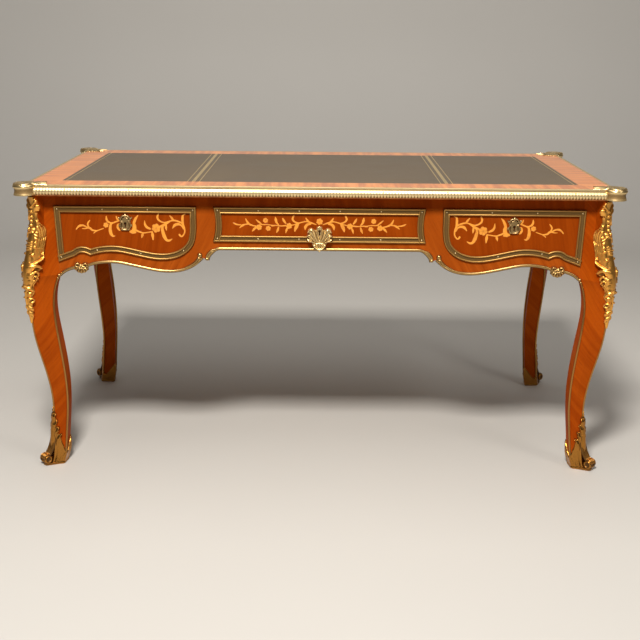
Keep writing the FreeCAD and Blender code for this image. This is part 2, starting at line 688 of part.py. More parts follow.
def drawer_box(x0, x1, floor):
    """Sides dovetailed to a back, the bottom in their grooves, and the tails that enter the front."""
    bottom_low = floor + BOTTOM_RAISE
    back_low = bottom_low + BOTTOM_THICKNESS
    back_y = BACK_OF_BOX - BOX_WALL
    bottom = box(x0 + BOX_WALL - BOTTOM_GROOVE, x1 - BOX_WALL + BOTTOM_GROOVE, FRONT_BACK_Y - BOTTOM_GROOVE,
                 BACK_OF_BOX, bottom_low, back_low)
    back = box(x0, x1, back_y, BACK_OF_BOX, back_low, BOX_TOP)
    sides, front_tails = [], []
    for near, far in ((x0, x0 + BOX_WALL), (x1 - BOX_WALL, x1)):
        back_tails = dovetails(near, far, back_y, BACK_OF_BOX, back_low, BOX_TOP)
        lapped = dovetails(near, far, FRONT_BACK_Y, FRONT_BACK_Y - DOVETAIL_LAP, floor, BOX_TOP)
        board = box(near, far, FRONT_BACK_Y, back_y, floor, BOX_TOP)
        heel = box(near, far, back_y, BACK_OF_BOX, floor, back_low)
        sides.append(fuse([board, heel] + back_tails + lapped).cut(bottom))
        back = back.cut(back_tails)
        front_tails += lapped
    return group(sides + [back]), bottom, front_tails


def drawer(name, wire, x0, x1, floor, key_x, key_drop, mount):
    """All pieces of one drawer; mount is the bronze round its keyhole."""
    key = keyhole(key_x, Z_LINE - key_drop, FRONT_Y - POST_INSET, FRONT_BACK_Y - LOCK_THICKNESS / 2)
    case_space, bolt, case = lock_pieces(key_x, key_drop)
    walls, bottom, tails = drawer_box(x0, x1, floor)
    front = prism(wire, V(0, BOARD, 0)).cut([case_space, key, bottom] + tails)
    return {name + "_drawer_front": front, name + "_drawer_walls": walls, name + "_drawer_bottom": bottom,
            name + "_drawer_frame": bronze_frame(wire, V(0, -1, 0)),
            name + "_drawer_escutcheon": mount.cut(key),
            name + "_lock_case": case.cut(key), name + "_lock_bolt": bolt}


def palmette():
    """Shell mount on the centre drawer: five lobes over a cup, hung in front of the apron."""
    low = Z_LINE - PALMETTE_FOOT_DROP
    back = FRONT_Y - FRAME_RISE - PALMETTE_CLEAR
    wide, tall = PALMETTE_HALF_WIDTH, PALMETTE_HEIGHT
    rims = []
    for sign in (1, -1):
        rims += arc_chain([V(sign * wide * x, back, low + tall * z) for x, z in PALMETTE_OUTLINE])
    plate = face_of(rims).extrude(V(0, -PALMETTE_THICKNESS, 0))
    stud_low = Z_LINE - CENTRE_DRAWER_HEIGHT + FRAME_WIDTH + PALMETTE_CLEAR
    stud_high = low + tall * PALMETTE_OUTLINE[-3][1]
    return plate.fuse(box(-wide / 2, wide / 2, back, FRONT_Y, stud_low, stud_high))


def seat(outer, side, floor):
    """Runner with its guide, kicker and stop, between the carcass wall at outer and a drawer side."""
    sign = 1 if side > outer else -1
    ledge_end = side + sign * RUNNER_LEDGE
    guide_end = side - sign * GUIDE_GAP
    top = floor - RUN_GAP
    front, back = FRONT_BACK_Y, -FRONT_BACK_Y
    low_x, high_x = sorted((outer, ledge_end))
    ledge = box(low_x, high_x, front, back, top - RUNNER_HEIGHT, top)
    guide = box(*sorted((outer, guide_end)), front, back, top, top + GUIDE_HEIGHT)
    kicker_low = BOX_TOP + RUN_GAP
    kicker = box(low_x, high_x, front, back, kicker_low, kicker_low + KICKER_HEIGHT)
    stop_y = BACK_OF_BOX + RUN_GAP
    stop = box(*sorted((side, ledge_end)), stop_y, stop_y + STOP_LENGTH, top, top + STOP_HEIGHT)
    return clean(ledge.fuse(guide)), kicker, stop


nodes = {}

# Legs and their bronzes
leg_blank = leg_solid(0.0)
foot_space = box(-HALF_W, 0, -HALF_D, 0, 0, SABOT_SOLE)
leg_wood = clean(leg_blank.cut(foot_space))
chute_piece = chute(leg_blank)
sabot_piece = sabot(leg_wood)

# Front of the frieze, its openings and joints
side_wire = side_drawer_wire()
centre_wire = centre_drawer_wire()
opening_run = V(0, BOARD + FRIEZE_INSET + DRAWER_GAP, 0)
opening_shift = V(0, -FRIEZE_INSET, 0)
left_opening = prism(side_wire.makeOffset2D(DRAWER_GAP), opening_run).translated(opening_shift)
centre_opening = prism(centre_wire.makeOffset2D(DRAWER_GAP), opening_run).translated(opening_shift)
openings = [left_opening, mirrored(left_opening, X_MIRROR), centre_opening]
whole_front = front_board()
front = whole_front.cut(openings)
rail_low = Z_LINE + DRAWER_GAP
stile_low = Z_LINE - STILE_FOOT_DROP
rail_zone = box(-POST_X, POST_X, FRONT_Y, FRONT_BACK_Y, rail_low, Z_UNDER)
stile_zone = box(-DRAWER_INNER - BOARD, -CENTRE_HALF + BOARD, FRONT_Y, FRONT_BACK_Y, stile_low, rail_low)
tenon_y0 = FRONT_Y + (BOARD - TENON_THICKNESS) / 2
tenon_y1 = tenon_y0 + TENON_THICKNESS
stile_tenon_half = STILE_WIDTH / 2 - 2 * TENON_SHOULDER
stile_tenon = box(-PARTITION_X - stile_tenon_half, -PARTITION_X + stile_tenon_half, tenon_y0, tenon_y1,
                  stile_low - TENON_LENGTH / 2, rail_low + TENON_LENGTH / 2)
stile_left = front.common(stile_zone).fuse(stile_tenon)
stile_right = mirrored(stile_left, X_MIRROR)
stile_tenons = [stile_tenon, mirrored(stile_tenon, X_MIRROR)]
apron_zone = front.cut([rail_zone, stile_zone, mirrored(stile_zone, X_MIRROR)])
tenon_x0 = -POST_X - TENON_LENGTH
tenon_low, tenon_high = Z_KNEE + TENON_SHOULDER, Z_UNDER - TENON_SHOULDER
rail_tenon = box(tenon_x0, -POST_X, tenon_y0, tenon_y1, rail_low + TENON_SHOULDER, tenon_high)
apron_tenon_high = Z_LINE - LOBE[0][1] - DRAWER_GAP - TENON_SHOULDER
apron_tenon = box(tenon_x0, -POST_X, tenon_y0, tenon_y1, tenon_low, apron_tenon_high)
frieze_tenon = box(tenon_x0, -POST_X, tenon_y0, tenon_y1, tenon_low, tenon_high)
side_tenon_x0 = SIDE_X + (BOARD - TENON_THICKNESS) / 2
side_tenon = box(side_tenon_x0, side_tenon_x0 + TENON_THICKNESS, -POST_Y - TENON_LENGTH, -POST_Y,
                 tenon_low, tenon_high)

front_leg = leg_wood.cut([left_opening, rail_tenon, apron_tenon, side_tenon])
blind_space = prism(side_wire, V(0, -FRIEZE_INSET, 0))
back_leg = leg_wood.cut([frieze_tenon, side_tenon, blind_space])
nodes["leg_front_left"] = front_leg
nodes["leg_front_right"] = mirrored(front_leg, X_MIRROR)
nodes["leg_back_left"] = mirrored(back_leg, Y_MIRROR)
nodes["leg_back_right"] = mirrored(nodes["leg_back_left"], X_MIRROR)
for corner, piece in four_corners(sabot_piece).items():
    nodes["sabot_" + corner] = piece
for corner, piece in four_corners(chute_piece).items():
    nodes["chute_" + corner] = piece

# Top buttons and screws
button_low = Z_UNDER - BUTTON_HEIGHT
buttons, tongues, screws, screw_holes = [], [], [], []
for x in BUTTON_PLACES:
    x0, x1 = x - BUTTON_LENGTH / 2, x + BUTTON_LENGTH / 2
    body = box(x0, x1, FRONT_BACK_Y, FRONT_BACK_Y + BUTTON_WIDTH, button_low, Z_UNDER)
    tongue = box(x0, x1, FRONT_BACK_Y - BUTTON_TONGUE, FRONT_BACK_Y, button_low, Z_UNDER - BUTTON_HEIGHT / 2)
    spot = V(x, FRONT_BACK_Y + BUTTON_WIDTH / 2, button_low)
    shank = Part.makeCylinder(SCREW_RADIUS, BUTTON_HEIGHT + SCREW_BITE, spot)
    head = Part.makeCylinder(SCREW_HEAD_RADIUS, SCREW_HEAD, spot - V(0, 0, SCREW_HEAD))
    hole = Part.makeCylinder(SCREW_RADIUS + SCREW_GAP, BUTTON_HEIGHT + SCREW_BITE, spot)
    buttons.append(clean(body.fuse(tongue)).cut(hole))
    tongues.append(tongue)
    screws.append(shank.fuse(head))
    screw_holes.append(hole)
for row in (buttons, tongues, screws, screw_holes):
    row += [mirrored(piece, Y_MIRROR) for piece in row]
nodes["top_buttons"] = group(buttons)
nodes["button_screws"] = group(screws)

# Frieze boards
lock_places = [-(DRAWER_OUTER + DRAWER_INNER) / 2, 0.0, (DRAWER_OUTER + DRAWER_INNER) / 2]
rail = front.common(rail_zone).fuse([rail_tenon, mirrored(rail_tenon, X_MIRROR)])
nodes["front_top_rail"] = clean(rail.cut([bolt_mortise(x) for x in lock_places] + stile_tenons + tongues))
nodes["front_stile_left"] = clean(stile_left)
nodes["front_stile_right"] = clean(stile_right)
apron = apron_zone.fuse([apron_tenon, mirrored(apron_tenon, X_MIRROR)]).cut(stile_tenons)
nodes["front_apron"] = clean(apron)
back = mirrored(whole_front.fuse([frieze_tenon, mirrored(frieze_tenon, X_MIRROR)]), Y_MIRROR)
nodes["back_frieze"] = clean(back.cut(tongues))
side = side_board().fuse([side_tenon, mirrored(side_tenon, Y_MIRROR)])
nodes["side_frieze_left"] = clean(side)
nodes["side_frieze_right"] = mirrored(nodes["side_frieze_left"], X_MIRROR)

# Inside: partitions, runners, kickers and stops
partition = box(-PARTITION_X - PARTITION / 2, -PARTITION_X + PARTITION / 2, FRONT_BACK_Y, -FRONT_BACK_Y,
                Z_LINE - PARTITION_DROP, Z_UNDER)
nodes["partition_left"] = partition
nodes["partition_right"] = mirrored(partition, X_MIRROR)
side_floor = Z_LINE - SIDE_BOX_FLOOR_DROP
centre_floor = Z_LINE - CENTRE_BOX_FLOOR_DROP
box_outer = -POST_X + BOX_SIDE_INSET / 2
round_reach = ROUND_CORNER[0][0] + SIDE_BOX_FLOOR_DROP - ROUND_CORNER[0][1]
box_inner = -DRAWER_INNER - round_reach - GUIDE_GAP
centre_box = CENTRE_HALF - CENTRE_DRAWER_HOLLOW - BOX_SIDE_INSET / 2
seats = [seat(SIDE_INNER_X, box_outer, side_floor),
         seat(-PARTITION_X - PARTITION / 2, box_inner, side_floor),
         seat(-PARTITION_X + PARTITION / 2, -centre_box, centre_floor)]
posts = [leg_blank, mirrored(leg_blank, Y_MIRROR)]
for index, name in enumerate(["drawer_runners", "drawer_kickers", "drawer_stops"]):
    left = [trio[index].cut(posts) for trio in seats]
    nodes[name] = group(left + [mirrored(piece, X_MIRROR) for piece in left])

# Drawers
key_x = lock_places[0]
oval = lobed_plate(V(key_x, FRONT_Y, Z_LINE - SIDE_KEY_DROP), V(1, 0, 0), V(0, 0, 1), ESCUTCHEON_WIDTH / 2,
                   ESCUTCHEON_HEIGHT / 2, PLATE_LOBES, ESCUTCHEON_VALLEY, ESCUTCHEON_THICKNESS)
left_drawer = drawer("left", side_wire, box_outer, box_inner, side_floor, key_x, SIDE_KEY_DROP, oval)
nodes.update(left_drawer)
for name, piece in left_drawer.items():
    nodes[name.replace("left_", "right_")] = mirrored(piece, X_MIRROR)
nodes.update(drawer("centre", centre_wire, -centre_box, centre_box, centre_floor, lock_places[1],
                    CENTRE_KEY_DROP, palmette()))

# Bronze on the aprons and panels
shell_front = lobed_plate(on_front(*SHELL_AT[:2]), V(1, 0, 0), V(0, 0, 1), SHELL_WIDTH / 2,
                          SHELL_HEIGHT / 2, PLATE_LOBES, SHELL_VALLEY, SHELL_THICKNESS)
shell_side = lobed_plate(on_side(*SHELL_AT[:2]), V(0, -1, 0), V(0, 0, 1), SHELL_WIDTH / 2,
                         SHELL_HEIGHT / 2, PLATE_LOBES, SHELL_VALLEY, SHELL_THICKNESS)
bud_foot = on_front(BUD_AT[0], BUD_AT[1] + BUD_HEIGHT / 2)
bud_head = on_front(BUD_AT[0], BUD_AT[1] - BUD_HEIGHT / 2)
bud_side = arc(bud_foot, on_front(*BUD_AT) - Y_MIRROR * BUD_RADIUS, bud_head)
bud = face_of([bud_side, line(bud_head, bud_foot)]).revolve(bud_foot, V(0, 0, 1), 360).cut(whole_front)
castings = [shell_front, shell_side, bud]
nodes["apron_shells"] = group([piece for casting in castings for piece in four_corners(casting).values()])


def hung(stations):
    """The line of a bead that hangs a little below an apron's edge."""
    return [(u, drop + BEAD_HANG, heading) for u, drop, heading in stations]


def apron_beads(place, swell, board, across):
    lobe_bead = bead(flow(hung(APRON_LOBE), place), BEAD_RADIUS, across)
    swell_bead = bead(flow(hung(swell), place), BEAD_RADIUS, across)
    return [lobe_bead.cut([board, leg_blank] + castings), swell_bead.cut([board, lobe_bead] + castings)]


arch_path = flow(hung(FRONT_ARCH), on_front)
arch_end = on_front(FRONT_ARCH[-1][0], ARCH_DROP + BEAD_HANG)
arch_path.append(line(arch_end, V(0, FRONT_Y, arch_end.z)))
arch_half = bead(arch_path, BEAD_RADIUS, Y_MIRROR).cut(whole_front)
front_beads = apron_beads(on_front, FRONT_SWELL, whole_front, Y_MIRROR)
front_beads += [mirrored(piece, X_MIRROR) for piece in front_beads]
front_beads.append(clean(arch_half.fuse(mirrored(arch_half, X_MIRROR))))
side_lobe, side_half = apron_beads(on_side, SIDE_SWELL, side_board(), X_MIRROR)
side_swell = clean(side_half.fuse(mirrored(side_half, Y_MIRROR)))
side_beads = [side_lobe, mirrored(side_lobe, Y_MIRROR), side_swell]
all_beads = front_beads + [mirrored(piece, Y_MIRROR) for piece in front_beads]
all_beads += side_beads + [mirrored(piece, X_MIRROR) for piece in side_beads]
nodes["apron_beads"] = group(all_beads)

edge_bar = sweep_bead(front_edge, LEG_BEAD, SABOT_HEEL, Z_KNEE)
ridge_bar = sweep_bead(ridge_middle, LEG_BEAD, SABOT_BODY, Z_LINE - CHUTE_TAIL + LEG_BEAD_LAP)
leg_bars = [bar.cut([leg_blank, sabot_piece, chute_piece, front_beads[0], side_lobe])
            for bar in (edge_bar, diagonal_mirror(edge_bar), ridge_bar)]
nodes["leg_beads"] = group([piece for bar in leg_bars for piece in four_corners(bar).values()])

back_frames = [mirrored(nodes[name + "_drawer_frame"], Y_MIRROR) for name in ("left", "centre", "right")]
side_frame = bronze_frame(side_panel_wire(), V(-1, 0, 0))
nodes["panel_frames"] = group(back_frames + [side_frame, mirrored(side_frame, X_MIRROR)])

# Top, leather and bronze edge
clasp_blank = clasp()
clasps = four_corners(clasp_blank)
board = top_board()
nodes["top_board"] = board.cut(screw_holes)
nodes.update(leathers())
edge_front = edge_moulding(on_front_edge, V(TOP_WIDTH - 2 * CLASP_CENTRE, 0, 0)).cut(list(clasps.values()))
edge_left = edge_moulding(on_left_edge, V(0, TOP_DEPTH - 2 * CLASP_CENTRE, 0)).cut(list(clasps.values()))
nodes["top_edge_front"] = edge_front
nodes["top_edge_back"] = mirrored(edge_front, Y_MIRROR)
nodes["top_edge_left"] = edge_left
nodes["top_edge_right"] = mirrored(edge_left, X_MIRROR)
nodes["corner_clasps"] = group([clean(piece.cut(board)) for piece in clasps.values()])

os.makedirs("parts", exist_ok=True)
for name, shape in nodes.items():
    shape.exportStep(os.path.join("parts", name + ".step"))
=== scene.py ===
"""Bureau plat: finishes, bronzes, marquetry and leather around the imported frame. Metres, +Z up."""
import bpy
import math
import numpy as np
from mathutils import Matrix, Vector, geometry
from mathutils.bvhtree import BVHTree


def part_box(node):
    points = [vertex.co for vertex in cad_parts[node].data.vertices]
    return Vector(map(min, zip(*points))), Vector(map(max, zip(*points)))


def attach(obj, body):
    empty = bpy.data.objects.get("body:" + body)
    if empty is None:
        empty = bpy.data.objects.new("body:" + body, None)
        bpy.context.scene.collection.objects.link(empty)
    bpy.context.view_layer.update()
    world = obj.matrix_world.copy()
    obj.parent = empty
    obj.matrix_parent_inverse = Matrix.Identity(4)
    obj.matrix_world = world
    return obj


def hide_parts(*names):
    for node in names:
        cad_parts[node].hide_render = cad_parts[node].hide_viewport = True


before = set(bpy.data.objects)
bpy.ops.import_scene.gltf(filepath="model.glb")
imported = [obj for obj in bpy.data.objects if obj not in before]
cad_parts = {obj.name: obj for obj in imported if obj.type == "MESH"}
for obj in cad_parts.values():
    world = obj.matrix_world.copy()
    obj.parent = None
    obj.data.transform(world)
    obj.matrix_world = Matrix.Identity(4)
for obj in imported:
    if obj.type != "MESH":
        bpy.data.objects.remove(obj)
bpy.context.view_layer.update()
scene = bpy.context.scene
scene.view_settings.view_transform = "Standard"

# The view: a camera at standing height about three metres in front of the desk, a pale studio floor
# that curves up into a backdrop, and soft lamps above and in front.
CAMERA_AT = Vector((0.01519, -3.173672, 1.186288))
CAMERA_YAW, CAMERA_PITCH, CAMERA_ROLL = -0.004288, 0.267307, 0.008311
FOCAL_PIXELS, FRAME_PIXELS, SENSOR = 1083.326, 640.0, 36.0

ahead = Vector((math.sin(CAMERA_YAW) * math.cos(CAMERA_PITCH),
                math.cos(CAMERA_YAW) * math.cos(CAMERA_PITCH), -math.sin(CAMERA_PITCH)))
level = Vector((math.cos(CAMERA_YAW), -math.sin(CAMERA_YAW), 0.0))
above = level.cross(ahead)
right = level * math.cos(CAMERA_ROLL) + above * math.sin(CAMERA_ROLL)
upward = above * math.cos(CAMERA_ROLL) - level * math.sin(CAMERA_ROLL)
camera = bpy.data.objects.new("camera", bpy.data.cameras.new("camera"))
scene.collection.objects.link(camera)
camera.data.sensor_width = SENSOR
camera.data.lens = FOCAL_PIXELS / FRAME_PIXELS * SENSOR
camera.matrix_world = Matrix.Translation(CAMERA_AT) @ Matrix((right, upward, -ahead)).transposed().to_4x4()
scene.camera = camera


class Value:
    """A socket on its way through a finish; arithmetic on it adds Math nodes."""

    def __init__(self, tree, socket):
        self.tree = tree
        self.socket = socket

    def node(self, kind, settings=None, inputs=None, output=0):
        new = self.tree.nodes.new(kind)
        for key, value in (settings or {}).items():
            if key == "stops":
                for stop, (place, colour) in zip(ramp_stops(new, len(value)), value):
                    stop.position = place
                    stop.color = (*colour, 1.0)
            else:
                setattr(new, key, value)
        for key, value in (inputs or {}).items():
            if isinstance(value, Value):
                self.tree.links.new(value.socket, new.inputs[key])
            else:
                new.inputs[key].default_value = value
        return Value(self.tree, new.outputs[output])

    def maths(self, operation, *values):
        return self.node("ShaderNodeMath", {"operation": operation}, dict(enumerate(values)))

    def __add__(self, other):
        return self.maths("ADD", self, other)

    def __sub__(self, other):
        return self.maths("SUBTRACT", self, other)

    def __mul__(self, other):
        return self.maths("MULTIPLY", self, other)

    def __abs__(self):
        return self.maths("ABSOLUTE", self)

    def __rsub__(self, other):
        return self.maths("SUBTRACT", other, self)

    __radd__ = __add__
    __rmul__ = __mul__


def ramp_stops(node, count):
    stops = node.color_ramp.elements
    while len(stops) < count:
        stops.new(0.5)
    return stops


def step_up(value, low, high):
    """0 below low, 1 above high, eased between."""
    return value.node("ShaderNodeMapRange", {"interpolation_type": "SMOOTHSTEP"},
                      {"Value": value, "From Min": low, "From Max": high})


def blend_colour(share, first, second):
    """first where share is 0, second where it is 1."""
    parts = {0: share}
    for key, colour in ((6, first), (7, second)):
        parts[key] = colour if isinstance(colour, Value) else (*colour, 1.0)
    return share.node("ShaderNodeMix", {"data_type": "RGBA"}, parts, output=2)


def grain(place, scale, detail=3.0, rough=0.55):
    return place.node("ShaderNodeTexNoise", {}, {"Vector": place, "Scale": scale, "Detail": detail,
                                                 "Roughness": rough})


def new_finish(name, roughness, metallic=0.0):
    """A material, its shader and the place on the piece in metres."""
    material = bpy.data.materials.new(name)
    material.use_nodes = True
    tree = material.node_tree
    shader = tree.nodes["Principled BSDF"]
    shader.inputs["Roughness"].default_value = roughness
    shader.inputs["Metallic"].default_value = metallic
    coordinates = tree.nodes.new("ShaderNodeTexCoord")
    return material, shader, Value(tree, coordinates.outputs["Object"])


def feed(shader, socket, value):
    value.tree.links.new(value.socket, shader.inputs[socket])


def feed_bump(shader, height, strength, distance):
    feed(shader, "Normal", height.node("ShaderNodeBump", {}, {"Height": height, "Strength": strength,
                                                             "Distance": distance}))


FLOOR_COLOUR = (0.54, 0.527, 0.505)
FLOOR_HALF, FLOOR_FRONT, WALL_AT, WALL_BEND, WALL_HIGH = 7.0, -7.0, 2.6, 1.2, 4.5
WALL_STEPS = 12


def floor_profile():
    points = [(FLOOR_FRONT, 0.0)]
    for step in range(WALL_STEPS + 1):
        turn = math.pi / 2 * step / WALL_STEPS
        points.append((WALL_AT + WALL_BEND * math.sin(turn), WALL_BEND * (1 - math.cos(turn))))
    return points + [(WALL_AT + WALL_BEND, WALL_HIGH)]


def studio_floor():
    profile = floor_profile()
    points = [(side * FLOOR_HALF, y, z) for y, z in profile for side in (-1, 1)]
    faces = [(2 * k, 2 * k + 1, 2 * k + 3, 2 * k + 2) for k in range(len(profile) - 1)]
    mesh = bpy.data.meshes.new("studio_floor")
    mesh.from_pydata(points, [], faces)
    mesh.polygons.foreach_set("use_smooth", [True] * len(faces))
    material, shader, place = new_finish("floor_paint", 0.6)
    paler = [1.04 * c for c in FLOOR_COLOUR]
    feed(shader, "Base Color", blend_colour(grain(place, 1.5), FLOOR_COLOUR, paler))
    mesh.materials.append(material)
    floor = bpy.data.objects.new("studio_floor", mesh)
    scene.collection.objects.link(floor)


studio_floor()

LAMP_COLOUR = (1.0, 0.95, 0.88)
AIR_COLOUR, AIR_STRENGTH = (0.62, 0.60, 0.57, 1.0), 0.14
LAMPS = [("ceiling_lamp", (0.0, -0.2, 3.6), (0.0, 0.0, 0.6), 3.0, 44.0),
         ("front_lamp", (-0.4, -3.0, 3.8), (0.0, 0.0, 0.5), 0.7, 246.0),
         ("right_lamp", (2.8, -2.6, 3.4), (0.0, 0.0, 0.6), 1.0, 24.0)]
for lamp_name, lamp_at, lamp_aim, lamp_size, lamp_power in LAMPS:
    lamp = bpy.data.objects.new(lamp_name, bpy.data.lights.new(lamp_name, "AREA"))
    lamp.data.size = lamp_size
    lamp.data.energy = lamp_power
    lamp.data.color = LAMP_COLOUR
    lamp.location = lamp_at
    lamp.rotation_euler = (Vector(lamp_aim) - Vector(lamp_at)).to_track_quat("-Z", "Y").to_euler()
    scene.collection.objects.link(lamp)
world = bpy.data.worlds.new("studio_air")
scene.world = world
world.use_nodes = True
background = world.node_tree.nodes["Background"]
background.inputs["Color"].default_value = AIR_COLOUR
background.inputs["Strength"].default_value = AIR_STRENGTH


def dress(material, *names):
    """Gives CAD nodes their finish."""
    for name in names:
        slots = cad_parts[name].data.materials
        slots.clear()
        slots.append(material)


# Carcass timber: quarter-sawn oak, left bare inside. Partitions, runners, kickers, stops, the drawer
# boxes and the buttons under the top are planed boards, glued and pinned.
def bare_oak():
    material, shader, place = new_finish("bare_oak", 0.62)
    long_way = place.node("ShaderNodeMapping", {}, {"Vector": place, "Scale": (14.0, 1.0, 14.0)})
    streaks = grain(long_way, 7.0, 5.0)
    pores = step_up(grain(long_way, 40.0, 2.0), 0.58, 0.70)
    stops = [(0.25, (0.30, 0.17, 0.075)), (0.55, (0.42, 0.26, 0.12)), (0.8, (0.50, 0.33, 0.17))]
    colour = streaks.node("ShaderNodeValToRGB", {"stops": stops}, {"Fac": streaks})
    feed(shader, "Base Color", blend_colour(pores * 0.5, colour, (0.20, 0.11, 0.05)))
    feed_bump(shader, streaks - pores * 0.5, 0.25, 0.0008)
    return material


DRAWERS = ("left", "centre", "right")
dress(bare_oak(), "partition_left", "partition_right", "drawer_runners", "drawer_kickers", "drawer_stops",
      "top_buttons", *[drawer + "_drawer" + piece for drawer in DRAWERS for piece in ("_walls", "_bottom")])


# Veneered timber: legs, friezes, stiles, rail and drawer fronts carry sawn veneer the colour of
# orange peel, polished. The grain leans inwards and is matched in pairs about both middles.
def split(place):
    """The x, y and z of a place."""
    parts = place.node("ShaderNodeSeparateXYZ", {}, {"Vector": place})
    return [Value(place.tree, socket) for socket in parts.socket.node.outputs]


def polish(shader, weight, roughness):
    """A clear coat over a finish."""
    shader.inputs["Coat Weight"].default_value = weight
    shader.inputs["Coat Roughness"].default_value = roughness


def veneer(name, pale, deep, lean, broad):
    material, shader, place = new_finish(name, 0.34)
    x, y, z = split(place)
    inward = abs(x) + abs(y)
    across = inward * math.sin(lean) + z * math.cos(lean)
    along = z * math.sin(lean) - inward * math.cos(lean)
    fibre = place.node("ShaderNodeCombineXYZ", {}, {"X": across, "Y": along * 0.045, "Z": y * 0.02})
    streaks = grain(fibre, 75.0, 5.0, 0.6)
    figure = grain(fibre, broad, 2.0)
    flecks = step_up(grain(fibre, 420.0, 2.0), 0.60, 0.74)
    tone = step_up(streaks * 0.62 + figure * 0.38, 0.36, 0.66)
    colour = blend_colour(tone, deep, pale)
    feed(shader, "Base Color", blend_colour(flecks * 0.35, colour, [0.55 * c for c in deep]))
    feed(shader, "Roughness", streaks * 0.14 + 0.27)
    feed_bump(shader, streaks - flecks * 0.6, 0.08, 0.0006)
    polish(shader, 0.02, 0.16)
    shader.inputs["Specular IOR Level"].default_value = 0.01
    return material


LEG_LEAN, FRIEZE_LEAN, DRAWER_LEAN = (math.radians(lean) for lean in (45, 62, 80))
leg_veneer = veneer("leg_veneer", (0.39, 0.068, 0.003), (0.28, 0.041, 0.0015), LEG_LEAN, 14.0)
frieze_veneer = veneer("frieze_veneer", (0.385, 0.077, 0.006), (0.275, 0.048, 0.003), FRIEZE_LEAN, 10.0)
drawer_veneer_and_rail_shadow = veneer("drawer_veneer_and_rail_shadow", (0.30, 0.050, 0.0024), (0.225, 0.033, 0.0013), DRAWER_LEAN, 12.0)
CORNERS = ("front_left", "front_right", "back_left", "back_right")
dress(leg_veneer, *["leg_" + corner for corner in CORNERS])
dress(frieze_veneer, "front_stile_left", "front_stile_right", "front_apron", "back_frieze",
      "side_frieze_left", "side_frieze_right")
# The top rail under the overhang of the top takes the darker drawer veneer: a painted shadow.
dress(drawer_veneer_and_rail_shadow, "front_top_rail", *[drawer + "_drawer_front" for drawer in DRAWERS])


# Top: a veneered board with a crossbanded border, its grain square to each edge and mitred at the
# corners, round three panels of dark leather.
def crossbanding():
    material, shader, place = new_finish("crossbanding", 0.30)
    half_w, half_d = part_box("top_board")[1][:2]
    x, y, z = split(place)
    at_end = step_up((half_d - abs(y)) - (half_w - abs(x)), -0.0004, 0.0004)
    by_long = place.node("ShaderNodeCombineXYZ", {}, {"X": x, "Y": y * 0.07, "Z": z})
    by_end = place.node("ShaderNodeCombineXYZ", {}, {"X": x * 0.07, "Y": y, "Z": z})
    streaks = grain(by_long, 60.0, 5.0, 0.6) * (1 - at_end) + grain(by_end, 60.0, 5.0, 0.6) * at_end
    # The border is paler than the friezes: partly its own colour, partly a painted reflection on the polished
    # top.
    colour = blend_colour(step_up(streaks, 0.36, 0.66), (0.56, 0.158, 0.028), (0.88, 0.312, 0.072))
    feed(shader, "Base Color", colour)
    feed(shader, "Roughness", streaks * 0.15 + 0.24)
    feed_bump(shader, streaks, 0.06, 0.0006)
    polish(shader, 0.52, 0.14)
    return material


def desk_leather():
    material, shader, place = new_finish("desk_leather", 0.42)
    pebbles = place.node("ShaderNodeTexVoronoi", {"feature": "SMOOTH_F1"}, {"Vector": place, "Scale": 900.0})
    clouds = grain(place, 5.0, 4.0)
    scuffs = step_up(grain(place, 26.0, 6.0, 0.7), 0.56, 0.78)
    # The leather's colours are its own dark brown, lifted by a painted sheen.
    colour = blend_colour(clouds, (0.068, 0.046, 0.025), (0.140, 0.100, 0.058))
    feed(shader, "Base Color", blend_colour(scuffs * 0.35, colour, (0.15, 0.115, 0.080)))
    feed(shader, "Roughness", clouds * 0.18 + 0.30)
    feed_bump(shader, pebbles, 0.25, 0.0004)
    return material


dress(crossbanding(), "top_board")
dress(desk_leather(), "leather_left", "leather_centre", "leather_right")


# Bronze: gilt on the edge of the top, waxed brown on the frames; the other castings have tones of their own
# below, the mounts' warmed by a painted reflection. An attribute of each mesh holds how far its points sink
# to a dark tone: deep in its hollows, and as painted shade on the lower halves of beads and edge, on the
# hollowed sides of the clasps and in the hollow of each toe. The locks are brass; their bolts, and the screws
# under the top, are steel.
def bronze(name, bright, hollow_and_shade_tone, rough):
    material, shader, place = new_finish(name, rough, 1.0)
    recess = place.node("ShaderNodeAttribute", {"attribute_name": "recess"}, output=2)
    wear = grain(place, 90.0, 4.0)
    hollow = step_up(recess + (wear - 0.5) * 0.35, 0.15, 0.85)
    tint = blend_colour(wear, [0.90 * c for c in bright], bright)
    # The colour sinks to the dark tone in hollows, and as painted shade where a mesh marks a shaded side.
    feed(shader, "Base Color", blend_colour(hollow * 0.85, tint, hollow_and_shade_tone))
    feed(shader, "Roughness", wear * 0.12 + hollow * 0.25 + (rough - 0.06))
    feed(shader, "Metallic", 1 - hollow * 0.45)
    feed_bump(shader, wear, 0.06, 0.0008)
    return material


gilt = bronze("gilt_bronze", (0.95, 0.74, 0.40), (0.20, 0.11, 0.030), 0.40)
antique = bronze("antique_bronze", (0.49, 0.275, 0.082), (0.10, 0.050, 0.008), 0.44)
lock_brass = bronze("lock_brass", (0.70, 0.52, 0.24), (0.10, 0.06, 0.02), 0.38)
steel = bronze("bright_steel", (0.55, 0.54, 0.52), (0.10, 0.09, 0.08), 0.35)
dress(lock_brass, *[drawer + "_lock_case" for drawer in DRAWERS])
dress(steel, "button_screws", *[drawer + "_lock_bolt" for drawer in DRAWERS])


# Marquetry: sprays of leaves and blossoms sawn from pale wood, browned along the stems in hot sand,
# and let into the drawer fronts with their faces a hair proud.
MM = 0.001
CREASE = 42.0


